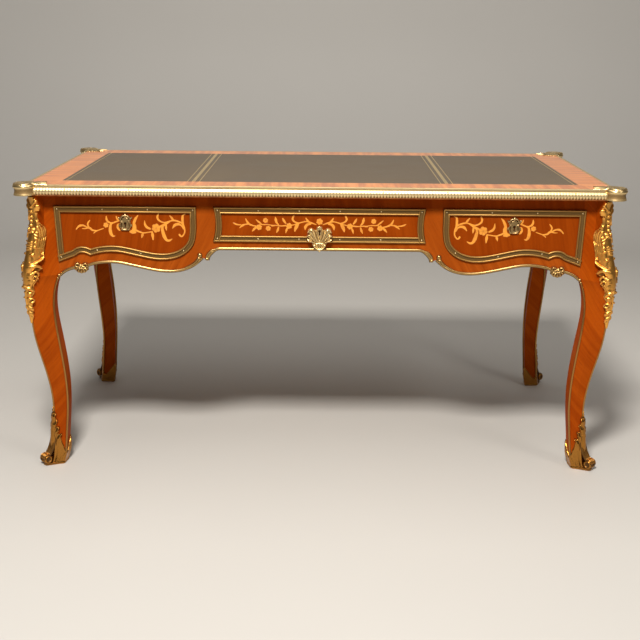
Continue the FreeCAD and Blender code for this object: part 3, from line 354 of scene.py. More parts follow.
def smooth_line(path, count=14):
    """Points along a smooth curve through the given ones."""
    p = np.array(path, float)
    p = np.vstack([2 * p[0] - p[1], p, 2 * p[-1] - p[-2]])
    t = np.linspace(0, 1, count, endpoint=False)[:, None]
    runs = []
    for a, b, c, d in zip(p, p[1:], p[2:], p[3:]):
        run = b + t * (c - a) / 2 + t ** 2 * (a - 2.5 * b + 2 * c - d / 2)
        runs.append(run + t ** 3 * (1.5 * (b - c) + (d - a) / 2))
    return np.vstack(runs + [p[-2:-1]])


def lattice_quads(number):
    """The four corner numbers of each square of a lattice of points."""
    return np.stack([number[:-1, :-1], number[:-1, 1:], number[1:, 1:], number[1:, :-1]], -1)


class Carving:
    """A figure drawn in millimetres on a fine lattice: how far each point lies inside its outline,
    and how high it stands."""

    def __init__(self, low, high, step):
        self.step = step
        self.u, self.v = np.meshgrid(np.arange(low[0], high[0] + step / 2, step),
                                     np.arange(low[1], high[1] + step / 2, step))
        self.inside = np.full(self.u.shape, -1.0)
        self.height = np.zeros(self.u.shape)
        self.ground = np.zeros(self.u.shape)

    def settle(self):
        """What is laid later stands on what is there now."""
        self.ground = self.height.copy()

    def window(self, points, margin):
        """The part of the lattice that lies round some points."""
        first = (points.min(0) - margin - (self.u[0, 0], self.v[0, 0])) / self.step
        last = (points.max(0) + margin - (self.u[0, 0], self.v[0, 0])) / self.step
        spans = [slice(max(0, int(a)), max(0, int(b) + 2)) for a, b in zip(first, last)]
        return spans[1], spans[0]

    def lay(self, spot, inside, height):
        self.inside[spot] = np.maximum(self.inside[spot], inside)
        stands = np.where(inside > 0, self.ground[spot] + height, 0.0)
        self.height[spot] = np.maximum(self.height[spot], stands)

    def stroke(self, path, widths, rises, vein=0.0):
        """A rounded ridge along a smooth curve; widths are half-widths, and vein sinks its middle."""
        line = smooth_line(path)
        share = np.linspace(0, 1, len(line))
        width = np.interp(share, np.linspace(0, 1, len(widths)), widths)
        rise = np.interp(share, np.linspace(0, 1, len(rises)), rises)
        spot = self.window(line, max(widths) + 2 * self.step)
        gaps = (self.u[spot][..., None] - line[:, 0]) ** 2 + (self.v[spot][..., None] - line[:, 1]) ** 2
        if gaps.size == 0:
            return
        near = (gaps / width ** 2).argmin(-1)
        distance = np.sqrt(np.take_along_axis(gaps, near[..., None], -1)[..., 0])
        reach = distance / width[near]
        height = np.sqrt(np.clip(1 - reach ** 2, 0, 1)) - vein * np.exp(-(reach / 0.25) ** 2)
        self.lay(spot, width[near] - distance, rise[near] * height)

    def boss(self, centre, radius, rise, dimple=0.0):
        spot = self.window(np.array([centre], float), radius + 2 * self.step)
        distance = np.hypot(self.u[spot] - centre[0], self.v[spot] - centre[1])
        reach = distance / radius
        height = np.sqrt(np.clip(1 - reach ** 2, 0, 1)) - dimple * np.exp(-(reach / 0.35) ** 2)
        self.lay(spot, radius - distance, rise * height)

    def chase(self, strokes, beads=(), sides=(1, -1)):
        """Lays strokes and beads as drawn for side 1, and mirrored about the middle line for side -1."""
        for side in sides:
            for path, widths, rises, vein in strokes:
                self.stroke([(side * u, v) for u, v in path], widths, rises, vein)
            for u, v, radius, rise in beads:
                self.boss((side * u, v), radius, rise)

    def plate(self, outline, rise, edge):
        """A flat sheet within an outline, its edge rounded over edge."""
        line = np.array(outline, float)
        spot = self.window(line, 2 * self.step)
        u, v = self.u[spot], self.v[spot]
        within = np.zeros(u.shape, bool)
        gap = np.full(u.shape, 1e9)
        for (x0, y0), (x1, y1) in zip(line, np.roll(line, -1, 0)):
            run_u, run_v = x1 - x0, y1 - y0
            if y0 != y1:
                within ^= ((y0 > v) != (y1 > v)) & (u < run_u * (v - y0) / run_v + x0)
            share = ((u - x0) * run_u + (v - y0) * run_v) / (run_u ** 2 + run_v ** 2 + 1e-12)
            share = np.clip(share, 0, 1)
            gap = np.minimum(gap, np.hypot(u - x0 - share * run_u, v - y0 - share * run_v))
        inside = np.where(within, gap, -gap)
        lip = np.clip(1 - inside / edge, 0, 1)
        self.lay(spot, inside, rise * np.sqrt(1 - lip ** 2))

    def pierce(self, inside):
        """Cuts away where inside is above zero."""
        self.inside = np.minimum(self.inside, -inside)

    def hollows(self, reach, depth):
        """1 in hollows that lie depth below their surroundings, 0 on crests."""
        soft = self.height.copy()
        for _ in range(reach):
            wide = np.pad(soft, 1, mode="edge")
            soft = (soft + wide[:-2, 1:-1] + wide[2:, 1:-1] + wide[1:-1, :-2] + wide[1:-1, 2:]) / 5
        return np.clip((soft - self.height) / depth, 0, 1)

    def solid(self, lift, back, shade, foot=False):
        """Closed mesh of the figure. lift turns (u, v, height) into places, back is how far its back is
        sunk, and foot closes the edge along the lowest row."""
        inside = self.inside > 0
        slide_u, slide_v, hits = (np.zeros(inside.shape) for _ in range(3))
        fence = np.pad(self.inside, 1, constant_values=-1.0)
        rows, columns = inside.shape
        for down in (-1, 0, 1):
            for along in (-1, 0, 1):
                other = fence[1 + down:1 + down + rows, 1 + along:1 + along + columns]
                hit = ~inside & (other > 0)
                share = np.where(hit, -self.inside / np.where(hit, other - self.inside, 1.0), 0.0)
                slide_u += share * along * self.step
                slide_v += share * down * self.step
                hits += hit
        rim = hits > 0
        count = np.where(rim, hits, 1.0)
        u, v = self.u + slide_u / count, self.v + slide_v / count
        used = inside | rim
        front = np.full(inside.shape, -1)
        front[used] = np.arange(used.sum())
        behind = front.copy()
        behind[inside] = used.sum() + np.arange(inside.sum())
        tall = np.where(inside, self.height, 0.0)
        back_points = lift(u[inside], v[inside], np.full(inside.sum(), -back))
        points = np.vstack([lift(u[used], v[used], tall[used]), back_points])
        cells = inside[:-1, :-1] | inside[1:, :-1] | inside[:-1, 1:] | inside[1:, 1:]
        faces = [lattice_quads(front)[cells], lattice_quads(behind)[cells][:, ::-1]]
        if foot:
            low = cells[0]
            faces.append(np.stack([front[0, 1:], front[0, :-1], behind[0, :-1], behind[0, 1:]], -1)[low])
        return points, [np.vstack(faces)], np.concatenate([shade[used], shade[inside]])


def outward(part):
    """Turns a closed part's faces outwards."""
    points, faces, shade = part
    volume = 0.0
    for alike in faces:
        for k in range(1, alike.shape[1] - 1):
            fan = np.cross(points[alike[:, k]], points[alike[:, k + 1]])
            volume += np.einsum("ij,ij->", points[alike[:, 0]], fan)
    return (points, [alike[:, ::-1] for alike in faces], shade) if volume < 0 else part


def mirrored(part, x=False, y=False):
    points, faces, shade = part
    return points * np.array([-1 if x else 1, -1 if y else 1, 1]), faces, shade


def part_mesh(name, parts, crease=CREASE):
    """Mesh in metres from closed parts in millimetres."""
    starts = np.cumsum([0] + [len(part[0]) for part in parts[:-1]])
    points = np.vstack([part[0] for part in parts]) * MM
    faces = []
    for start, part in zip(starts, parts):
        for alike in outward(part)[1]:
            faces += (alike + start).tolist()
    mesh = bpy.data.meshes.new(name)
    mesh.from_pydata(points.tolist(), [], faces)
    mesh.polygons.foreach_set("use_smooth", np.ones(len(faces), bool))
    mesh.set_sharp_from_angle(angle=math.radians(crease))
    shade = np.concatenate([part[2] for part in parts]).astype(np.float32)
    mesh.attributes.new("recess", "FLOAT", "POINT").data.foreach_set("value", shade)
    return mesh


def finished(name, mesh, body, replaced=()):
    """A piece that rides on a body and stands for CAD nodes."""
    piece = bpy.data.objects.new(name, mesh)
    scene.collection.objects.link(piece)
    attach(piece, body)
    if replaced:
        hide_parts(*replaced)


def make_piece(name, parts, material, body, replaced=(), crease=CREASE):
    mesh = part_mesh(name, parts, crease)
    mesh.materials.append(material)
    finished(name, mesh, body, replaced)


def pale_inlay():
    material, shader, place = new_finish("pale_inlay", 0.34)
    browned = place.node("ShaderNodeAttribute", {"attribute_name": "recess"}, output=2)
    fibre = place.node("ShaderNodeMapping", {}, {"Vector": place, "Scale": (1.0, 1.0, 6.0)})
    streaks = grain(fibre, 120.0, 4.0)
    singed = step_up(grain(place, 55.0), 0.46, 0.72)
    colour = blend_colour(streaks, (0.76, 0.27, 0.022), (0.92, 0.38, 0.045))
    feed(shader, "Base Color", blend_colour(browned * 0.65 + singed * 0.35, colour, (0.36, 0.10, 0.010)))
    feed(shader, "Roughness", streaks * 0.12 + 0.28)
    polish(shader, 0.10, 0.16)
    return material


FRONT_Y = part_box("front_apron")[0][1] / MM
INLAY_PROUD, INLAY_SUNK, INLAY_STEP = 0.15, 0.3, 0.6
STEM_VEIN, PETALS, PETAL_OUT, PETAL_ROUND, PETAL_TURN, HEART_ROUND = 0.25, 6, 0.58, 0.42, 0.3, 0.5


def on_front(across, up, rise):
    return np.stack([across, FRONT_Y - rise, up], -1)


# The sprays were drawn over enlargements of the view: paths, half-widths and blossoms (across,
# down, radius) in pixels of an enlargement, which begins at the view's pixel corner and has this scale.
OUTER_CORNER, OUTER_SCALE = (72, 208), 26.13
OUTER_STROKES = [
    ([(105, 560), (160, 500), (215, 455), (300, 460), (400, 505)], (14, 22, 30, 24, 22)),
    ([(270, 540), (340, 535), (420, 520)], (10, 16, 20)),
    ([(400, 505), (470, 530), (540, 575), (650, 590), (740, 560), (820, 530)], (24, 30, 26, 15, 14, 12)),
    ([(460, 320), (425, 370), (405, 420), (430, 490), (480, 540)], (12, 22, 22, 22, 20)),
    ([(565, 655), (600, 625), (650, 595)], (12, 14, 18)),
    ([(895, 215), (895, 290), (930, 345), (1000, 385), (1050, 385)], (14, 30, 30, 20, 18)),
    ([(1050, 395), (1120, 370), (1200, 340), (1270, 310)], (20, 20, 22, 16)),
    ([(1155, 225), (1180, 280), (1220, 325)], (16, 24, 20)),
    ([(1060, 385), (1020, 430), (1000, 520), (1000, 600), (1030, 680), (1070, 735), (1115, 735)],
     (22, 30, 40, 46, 42, 28, 12)),
    ([(1260, 405), (1205, 440), (1200, 510), (1225, 570), (1260, 590)], (14, 28, 34, 26, 10))]
OUTER_BLOSSOMS = [(885, 445, 72)]
INNER_CORNER, INNER_SCALE = (128, 208), 25.29
INNER_STROKES = [
    ([(250, 190), (205, 250), (165, 320), (150, 390), (160, 470), (155, 540), (120, 600)],
     (12, 30, 38, 36, 50, 56, 46)),
    ([(50, 600), (120, 610), (190, 620)], (26, 46, 24)),
    ([(200, 560), (280, 600), (380, 625), (480, 620), (590, 600)], (26, 22, 18, 16, 14)),
    ([(380, 630), (365, 690), (345, 750)], (22, 34, 10)),
    ([(420, 320), (435, 420), (480, 490), (560, 530)], (8, 30, 34, 24)),
    ([(610, 600), (620, 690), (640, 800)], (20, 40, 16)),
    ([(770, 150), (745, 220), (760, 290), (820, 340), (900, 370), (980, 355), (1090, 325)],
     (16, 28, 26, 22, 18, 18, 20)),
    ([(1060, 200), (1110, 260), (1150, 310)], (14, 30, 24)),
    ([(1090, 325), (1150, 310), (1250, 330), (1340, 370), (1390, 420)], (20, 24, 22, 22, 20)),
    ([(1440, 150), (1390, 190), (1375, 260), (1380, 330), (1390, 420)], (12, 24, 34, 32, 26)),
    ([(1390, 420), (1420, 500), (1435, 590), (1415, 660), (1375, 710), (1330, 715), (1300, 675)],
     (26, 22, 20, 18, 20, 20, 26)),
    ([(1130, 510), (1180, 440), (1260, 410), (1340, 440), (1400, 520)], (10, 38, 34, 22, 18)),
    ([(830, 460), (900, 430), (980, 390), (1050, 345)], (26, 36, 26, 18)),
    ([(880, 440), (870, 530), (890, 620), (920, 720), (970, 800), (1040, 820), (1110, 790)],
     (26, 36, 44, 48, 36, 28, 12)),
    ([(960, 430), (965, 500), (975, 565)], (24, 30, 8))]
INNER_BLOSSOMS = [(715, 505, 118), (110, 600, 58)]
CENTRE_SCALE = 31.36
TIP_CORNER = (226, 212)
TIP_STROKES = [
    ([(225, 345), (300, 380), (380, 405), (460, 400)], (12, 26, 22, 16)),
    ([(435, 495), (510, 430), (600, 385), (680, 375)], (12, 36, 22, 24)),
    ([(615, 215), (655, 290), (700, 360), (760, 400)], (14, 32, 34, 28)),
    ([(680, 365), (760, 395), (850, 430), (930, 440)], (28, 26, 22, 20)),
    ([(825, 605), (880, 530), (940, 470)], (12, 38, 30)),
    ([(945, 245), (1020, 315), (1090, 360)], (12, 30, 26)),
    ([(1080, 370), (1160, 395), (1280, 400), (1400, 410), (1500, 430)], (24, 18, 16, 16, 22))]
TIP_BLOSSOMS = [(1035, 480, 95), (1245, 265, 85), (1330, 520, 85)]
ROOT_CORNER = (272, 212)
ROOT_STROKES = [
    ([(0, 430), (120, 420), (230, 440), (340, 435), (430, 430)], (24, 18, 16, 20, 24)),
    ([(110, 165), (120, 250), (140, 330), (200, 400)], (12, 44, 34, 20)),
    ([(150, 645), (175, 560), (205, 480)], (14, 40, 24)),
    ([(330, 195), (370, 270), (430, 350)], (18, 40, 24)),
    ([(435, 655), (450, 570), (490, 500)], (10, 36, 20)),
    ([(620, 410), (720, 395), (800, 370), (900, 335), (1050, 305), (1150, 310), (1250, 350), (1380, 400)],
     (16, 18, 22, 20, 20, 24, 26, 16)),
    ([(680, 115), (640, 210), (680, 280), (760, 330), (820, 350)], (24, 34, 30, 26, 24)),
    ([(810, 380), (770, 460), (730, 540), (715, 605)], (40, 60, 40, 18)),
    ([(1065, 195), (1110, 270), (1170, 320)], (18, 34, 26)),
    ([(1210, 370), (1110, 400), (1050, 470), (1040, 565)], (30, 44, 48, 12))]
ROOT_BLOSSOMS = [(540, 440, 98)]
MIDDLE_BLOSSOM = (0, 684, 9.0)


def on_drawers(corner, scale, across, down):
    """Where a point of an enlargement falls on the drawer fronts, as (x, z) in millimetres."""
    right_by, down_by = corner[0] + across / scale, corner[1] + down / scale
    aim = ahead * FOCAL_PIXELS + right * (right_by - FRAME_PIXELS / 2) - upward * (down_by - FRAME_PIXELS / 2)
    place = CAMERA_AT + aim * ((FRONT_Y * MM - CAMERA_AT.y) / aim.y)
    return place.x / MM, place.z / MM


def drawn(corner, scale, strokes, blossoms):
    """One drawing's strokes and blossoms: places to a millimetre, widths and radii to a tenth."""
    ruler = 10 * scale
    unit = (on_drawers(corner, scale, ruler, 0)[0] - on_drawers(corner, scale, 0, 0)[0]) / ruler
    stems, hearts = [], []
    for path, widths in strokes:
        places = [on_drawers(corner, scale, *spot) for spot in path]
        stems.append(([(round(x), round(z)) for x, z in places],
                      [round(width * unit, 1) for width in widths]))
    for across, down, radius in blossoms:
        x, z = on_drawers(corner, scale, across, down)
        edge = on_drawers(corner, scale, across + radius, down)[0]
        hearts.append((round(x), round(z), round(edge - x, 1)))
    return stems, hearts


def inlaid_spray(low, high, drawings, turns):
    """Thin sheet of stems, leaves and blossoms, browned along their edges and in the blossom hearts."""
    spray = Carving(low, high, INLAY_STEP)
    for stems, hearts in drawings:
        for turn in turns:
            for path, widths in stems:
                spray.stroke([(turn * x, z) for x, z in path], widths, (1.0,), STEM_VEIN)
            for x, z, radius in hearts:
                for petal in range(PETALS):
                    angle = petal * 2 * math.pi / PETALS + PETAL_TURN
                    out = PETAL_OUT * radius
                    spray.boss((turn * x + out * math.cos(angle), z + out * math.sin(angle)),
                               PETAL_ROUND * radius, 0.9)
                spray.boss((turn * x, z), HEART_ROUND * radius, 1.0, 0.9)
    browning = np.clip(1.15 - 1.3 * spray.height, 0, 1)
    spray.height[:] = INLAY_PROUD
    return spray.solid(on_front, INLAY_SUNK, browning)


inlay = pale_inlay()
side_drawings = [drawn(OUTER_CORNER, OUTER_SCALE, OUTER_STROKES, OUTER_BLOSSOMS),
                 drawn(INNER_CORNER, INNER_SCALE, INNER_STROKES, INNER_BLOSSOMS)]
centre_drawings = [drawn(TIP_CORNER, CENTRE_SCALE, TIP_STROKES, TIP_BLOSSOMS),
                   drawn(ROOT_CORNER, CENTRE_SCALE, ROOT_STROKES, ROOT_BLOSSOMS), ([], [MIDDLE_BLOSSOM])]
left_spray = inlaid_spray((-650, 624), (-344, 708), side_drawings, (1,))
centre_spray = inlaid_spray((-246, 646), (246, 704), centre_drawings, (1, -1))
make_piece("left_drawer_marquetry", [left_spray], inlay, "left_drawer")
make_piece("right_drawer_marquetry", [mirrored(left_spray, x=True)], inlay, "right_drawer")
make_piece("centre_drawer_marquetry", [centre_spray], inlay, "centre_drawer")


# Gold tooling: leaf stamped into the leather with hot wheels. A broad band and two fine lines cover
# each seam, and a fine line runs along both ends.
def box_part(low, high):
    (x0, y0, z0), (x1, y1, z1) = low, high
    plan = ((x0, y0), (x1, y0), (x1, y1), (x0, y1))
    points = np.array([(x, y, z) for z in (z0, z1) for x, y in plan], float)
    faces = np.array([(3, 2, 1, 0), (4, 5, 6, 7), (0, 1, 5, 4), (1, 2, 6, 5), (2, 3, 7, 6), (3, 0, 4, 7)])
    return points, [faces], np.zeros(8)


def gold_leaf():
    material, shader, place = new_finish("gold_leaf", 0.42, 1.0)
    rubbed = step_up(grain(place, 45.0, 5.0, 0.7), 0.50, 0.72)
    feed(shader, "Base Color", blend_colour(rubbed * 0.45, (0.88, 0.68, 0.36), (0.30, 0.20, 0.09)))
    feed(shader, "Metallic", 1 - rubbed * 0.4)
    feed(shader, "Roughness", rubbed * 0.2 + 0.38)
    return material


leather_low, leather_high = (Vector(corner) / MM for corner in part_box("leather_centre"))
LEATHER_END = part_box("leather_right")[1][0] / MM
TOOLING_RISE, TOOLING_SUNK = 0.25, 0.5
BAND_HALF, LINE_HALF, LINE_APART, END_LINE = 4.6, 1.3, 15.7, 11.0
seam = leather_high[0]
gold = gold_leaf()
lines = [(seam, BAND_HALF), (seam - LINE_APART, LINE_HALF), (seam + LINE_APART, LINE_HALF),
         (LEATHER_END - END_LINE, LINE_HALF)]
tooled = []
for line_x, line_half in lines:
    for side in (-1, 1):
        tooled.append(box_part((side * line_x - line_half, leather_low[1], leather_high[2] - TOOLING_SUNK),
                               (side * line_x + line_half, leather_high[1], leather_high[2] + TOOLING_RISE)))
make_piece("gold_tooling", tooled, gold, "carcass")


# Bronze edge of the top: a plain fillet over a fine groove, and below it a round carved with leaves.
# Cast in lengths, pinned to the board and held at the corners by the clasps.
def ring_walls(near, far):
    """Quads from the points of rings to those of the rings that follow them."""
    return np.stack([near, np.roll(near, -1, 1), np.roll(far, -1, 1), far], -1).reshape(-1, 4)


def capped_rings(rings, points):
    """Faces of a body of rings with so many points each, its first and last ring filled."""
    number = np.arange(rings * points).reshape(rings, points)
    return [ring_walls(number[:-1], number[1:]), number[:1, ::-1], number[-1:]]


def sweep(path, place, profile, closed=False):
    """Carries a profile of (inset, rise, recess) along a flat path; inset is to the left of the path."""
    path = np.array(path, float)
    ahead = np.roll(path, -1, 0) - path
    ahead /= np.maximum(np.hypot(*ahead.T), 1e-9)[:, None]
    after = np.stack([-ahead[:, 1], ahead[:, 0]], 1)
    if not closed:
        after[-1] = after[-2]
    before = np.roll(after, 1, 0)
    if not closed:
        before[0] = after[0]
    mitre = (before + after) / np.maximum(1 + np.sum(before * after, 1), 0.25)[:, None]
    inset, rise, shade = np.array(profile, float).T
    ring = path[:, None, :] + mitre[:, None, :] * inset[None, :, None]
    points = place(ring[..., 0].ravel(), ring[..., 1].ravel(), np.tile(rise, len(path)))
    if closed:
        number = np.arange(len(points)).reshape(len(path), len(profile))
        faces = [ring_walls(number, np.roll(number, -1, 0))]
    else:
        faces = capped_rings(len(path), len(profile))
    return points, faces, np.tile(shade, len(path))


def castings_tree():
    """Sets a motif on every point of a mesh, turned by the point's turn attribute."""
    tree = bpy.data.node_groups.new("castings_on_points", "GeometryNodeTree")
    inputs = {"Points": "Geometry", "Motif": "Object", "Size": "Float", "Finish": "Material"}
    for socket, kind in inputs.items():
        tree.interface.new_socket(socket, in_out="INPUT", socket_type="NodeSocket" + kind)
    tree.interface.new_socket("Castings", in_out="OUTPUT", socket_type="NodeSocketGeometry")
    given, made = tree.nodes.new("NodeGroupInput"), tree.nodes.new("NodeGroupOutput")
    motif = tree.nodes.new("GeometryNodeObjectInfo")
    turn = tree.nodes.new("GeometryNodeInputNamedAttribute")
    turn.data_type = "FLOAT_VECTOR"
    turn.inputs["Name"].default_value = "turn"
    place = tree.nodes.new("GeometryNodeInstanceOnPoints")
    real = tree.nodes.new("GeometryNodeRealizeInstances")
    finish = tree.nodes.new("GeometryNodeSetMaterial")
    for source, target in ((given.outputs["Points"], place.inputs["Points"]),
                           (given.outputs["Motif"], motif.inputs["Object"]),
                           (motif.outputs["Geometry"], place.inputs["Instance"]),
                           (turn.outputs["Attribute"], place.inputs["Rotation"]),
                           (given.outputs["Size"], place.inputs["Scale"]),
                           (place.outputs["Instances"], real.inputs["Geometry"]),
                           (real.outputs["Geometry"], finish.inputs["Geometry"]),
                           (given.outputs["Finish"], finish.inputs["Material"]),
                           (finish.outputs["Geometry"], made.inputs["Castings"])):
        tree.links.new(source, target)
    return tree


CASTINGS = castings_tree()
TURNS = {"front": (math.pi / 2, 0, 0), "back": (-math.pi / 2, 0, 0), "left": (0, -math.pi / 2, 0),
         "right": (0, math.pi / 2, 0)}


def set_castings(name, places, motif_parts, material, body, size=1.0):
    """One mesh of a motif repeated at (x, y, z, turn) places, by the castings tree."""
    motif = bpy.data.objects.new(name + "_motif", part_mesh(name + "_motif", motif_parts))
    points = bpy.data.meshes.new(name + "_points")
    points.from_pydata([Vector(place[:3]) * MM for place in places], [], [])
    turns = np.array([place[3] for place in places], np.float32).ravel()
    points.attributes.new("turn", "FLOAT_VECTOR", "POINT").data.foreach_set("vector", turns)
    holder = bpy.data.objects.new(name + "_points", points)
    for thing in (motif, holder):
        scene.collection.objects.link(thing)
    modifier = holder.modifiers.new("castings", "NODES")
    modifier.node_group = CASTINGS
    given = {"Motif": motif, "Size": size, "Finish": material}
    for socket in CASTINGS.interface.items_tree:
        if socket.in_out == "INPUT" and socket.name in given:
            modifier[socket.identifier] = given[socket.name]
    graph = bpy.context.evaluated_depsgraph_get()
    mesh = bpy.data.meshes.new_from_object(holder.evaluated_get(graph), depsgraph=graph)
    mesh.name = name
    holder.modifiers.clear()
    for thing in (motif, holder):
        bpy.data.objects.remove(thing)
    finished(name, mesh, body)


edge_low, edge_high = (Vector(corner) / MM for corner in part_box("top_edge_front"))
side_edge_low, side_edge_high = (Vector(corner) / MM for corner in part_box("top_edge_left"))
TOP_Z, EDGE_TALL, EDGE_OUT = edge_high[2], edge_high[2] - edge_low[2], edge_high[1] - edge_low[1]
FILLET_DOWN, ROUND_TOP, FILLET_OUT, GROOVE_DEEP = 5.5, 6.7, 8.5, 2.2
ROUND_HALF = (EDGE_TALL - ROUND_TOP) / 2
ROUND_BULGE = EDGE_OUT - FILLET_OUT
ROUND_RADIUS = (ROUND_HALF ** 2 + ROUND_BULGE ** 2) / (2 * ROUND_BULGE)
ROUND_AT = (EDGE_OUT - ROUND_RADIUS, ROUND_TOP + ROUND_HALF)
ROUND_TURN = math.asin(ROUND_HALF / ROUND_RADIUS)
LEAF_PITCH, LEAF_SUNK, LEAF_ROOT, LEAF_COLUMNS = 8.0, 1.4, 0.6, 5
LEAF_ROWS = [(0.50, 1.0, 0.0), (0.50, 1.4, 0.12), (0.50, 1.5, 0.45), (0.46, 1.4, 0.85), (0.24, 0.8, 1.0)]
PIN_RADIUS, PIN_RISE, PIN_SIDES = 2.1, 1.5, 8
PIN_RINGS = [(1.0, 0.0, 0.9), (0.92, 0.45, 0.35), (0.55, 0.88, 0.0)]
EDGE_PIN_PITCH, EDGE_PIN_IN, EDGE_PIN_DOWN = 165.0, 2.2, 4.0


def edge_profile():
    """(outwards, down, recess) round the moulding, from the board's upper edge."""
    upper = [(0, 0, 0), (FILLET_OUT - 0.6, 0, 0), (FILLET_OUT, 0.6, 0), (FILLET_OUT, FILLET_DOWN - 0.5, 0),
             (FILLET_OUT - 0.5, FILLET_DOWN, 0.5), (FILLET_OUT - GROOVE_DEEP, FILLET_DOWN + 0.2, 1),
             (FILLET_OUT - GROOVE_DEEP, ROUND_TOP, 1)]
    radius = ROUND_RADIUS - LEAF_SUNK
    body = []
    # Painted shade: the round darkens from its middle down to its foot.
    for share in np.linspace(-1, 1, 9):
        turn = share * ROUND_TURN
        body.append((ROUND_AT[0] + radius * math.cos(turn), ROUND_AT[1] + radius * math.sin(turn),
                     0.15 + 0.85 * max(0.0, share)))
    return upper + body + [(0, EDGE_TALL, 1)]


def edge_leaf():
    """One carved leaf: smooth and full under the groove, parted from the next below, its tip turned in.
    A row is its half-width in pitches, its lift and how deep it is parted."""
    points, shade = [], []
    for deep in (False, True):
        for row, (half, lift, parting) in enumerate(LEAF_ROWS):
            turn = ROUND_TURN * (0.49 * row - 0.98)
            for column in range(LEAF_COLUMNS):
                across = column / 2 - 1
                crest = 1 - parting * across ** 2
                radius = ROUND_RADIUS - LEAF_SUNK + (-LEAF_ROOT if deep else lift * crest)
                points.append((across * half * LEAF_PITCH, -ROUND_AT[0] - radius * math.cos(turn),
                               -ROUND_AT[1] - radius * math.sin(turn)))
                # Painted shade: each leaf darkens towards its sides where it parts from the next, most in the
                # lower rows.
                shade.append(parting * across ** 2)
    number = np.arange(len(points)).reshape(2, len(LEAF_ROWS), LEAF_COLUMNS)
    face, back = (lattice_quads(layer).reshape(-1, 4) for layer in number)
    rims = [np.concatenate([a[0, :-1], a[:-1, -1], a[-1, :0:-1], a[:0:-1, 0]]) for a in number]
    wall = np.stack([rims[0], rims[1], np.roll(rims[1], -1), np.roll(rims[0], -1)], -1)
    return np.array(points), [np.vstack([face, back[:, ::-1], wall])], np.array(shade)


def pin_head():
    """Small domed head of a brass pin."""
    points, shade = [], []
    for reach, rise, recess in PIN_RINGS:
        for k in range(PIN_SIDES):
            turn = 2 * math.pi * k / PIN_SIDES
            points.append((PIN_RADIUS * reach * math.cos(turn), PIN_RADIUS * reach * math.sin(turn),
                           PIN_RISE * rise))
            shade.append(recess)
    return np.array(points), capped_rings(len(PIN_RINGS), PIN_SIDES), np.array(shade)


def on_front_edge(across, down, out):
    return np.stack([across, edge_high[1] - out, TOP_Z - down], -1)


def on_left_edge(across, down, out):
    return np.stack([side_edge_high[0] - out, across, TOP_Z - down], -1)


def edge_run(low, high, place):
    """One straight length between two clasps."""
    profile = [(-down, out, shade) for out, down, shade in edge_profile()]

    def lower(a, b, rise):
        return place(a, -b, rise)

    return sweep([(low, 0), (high, 0)], lower, profile)


def along(low, high, pitch):
    """Evenly spaced middles between two ends."""
    count = max(1, round((high - low) / pitch))
    return [low + (high - low) * (k + 0.5) / count for k in range(count)]


front_run = edge_run(edge_low[0], edge_high[0], on_front_edge)
left_run = edge_run(side_edge_low[1], side_edge_high[1], on_left_edge)
for edge_name, run in (("front", front_run), ("back", mirrored(front_run, y=True)), ("left", left_run),
                       ("right", mirrored(left_run, x=True))):
    make_piece("bronze_edge_" + edge_name, [run], gilt, "carcass", ["top_edge_" + edge_name])
leaves = []
for x in along(edge_low[0], edge_high[0], LEAF_PITCH):
    leaves += [(x, edge_high[1], TOP_Z, (0, 0, 0)), (-x, -edge_high[1], TOP_Z, (0, 0, math.pi))]
for y in along(side_edge_low[1], side_edge_high[1], LEAF_PITCH):
    leaves += [(side_edge_high[0], y, TOP_Z, (0, 0, -math.pi / 2)),
               (-side_edge_high[0], -y, TOP_Z, (0, 0, math.pi / 2))]
set_castings("edge_leaves", leaves, [edge_leaf()], gilt, "carcass")
edge_pins = []
pin_y, pin_z = edge_low[1] + EDGE_PIN_IN, TOP_Z - ROUND_TOP - EDGE_PIN_DOWN
for x in along(edge_low[0], edge_high[0], EDGE_PIN_PITCH):
    edge_pins += [(x, pin_y, pin_z, TURNS["front"]), (x, -pin_y, pin_z, TURNS["back"])]


# Bronze frames of the drawers: a moulding of two beads with a channel between, mitred at the corners
# and pinned through the channel. The back and the ends carry the same frames on blind panels.
def arc_run(start, heading, end, pitch=4.0):
    """Points of the arc that leaves start along heading and reaches end."""
    chord = end - start
    reach = math.hypot(*chord)
    half = math.atan2(heading[0] * chord[1] - heading[1] * chord[0], heading @ chord)
    share = np.linspace(0, 1, max(2, round(reach / pitch)) + 1)
    away = reach * (share if abs(half) < 1e-5 else np.sin(half * share) / math.sin(half))
    lean = math.atan2(heading[1], heading[0]) + half * share
    return start + away[:, None] * np.stack([np.cos(lean), np.sin(lean)], 1)


def biarc(start, leave, end, arrive):
    """Two arcs that leave start along leave, meet smoothly and reach end along arrive."""
    chord = end - start
    both = leave + arrive
    spread = 2 * (1 - leave @ arrive)
    if spread < 1e-6:
        reach = chord @ chord / (4 * chord @ arrive)
    else:
        reach = (math.sqrt((chord @ both) ** 2 + spread * (chord @ chord)) - chord @ both) / spread
    meet = (start + leave * reach + end - arrive * reach) / 2
    return np.vstack([arc_run(start, leave, meet)[:-1], arc_run(end, -arrive, meet)[::-1]])


def flow(stations, origin):
    """Smooth line through (across, drop, heading in degrees) from an origin on the drawer line."""
    runs = []
    for (u0, d0, a0), (u1, d1, a1) in zip(stations, stations[1:]):
        leave, arrive = (np.array([math.cos(math.radians(a)), math.sin(math.radians(a))]) for a in (a0, a1))
        run = biarc(np.array([u0, -d0]), leave, np.array([u1, -d1]), arrive)
        runs.append(run if not runs else run[1:])
    return np.vstack(runs) + np.array(origin)


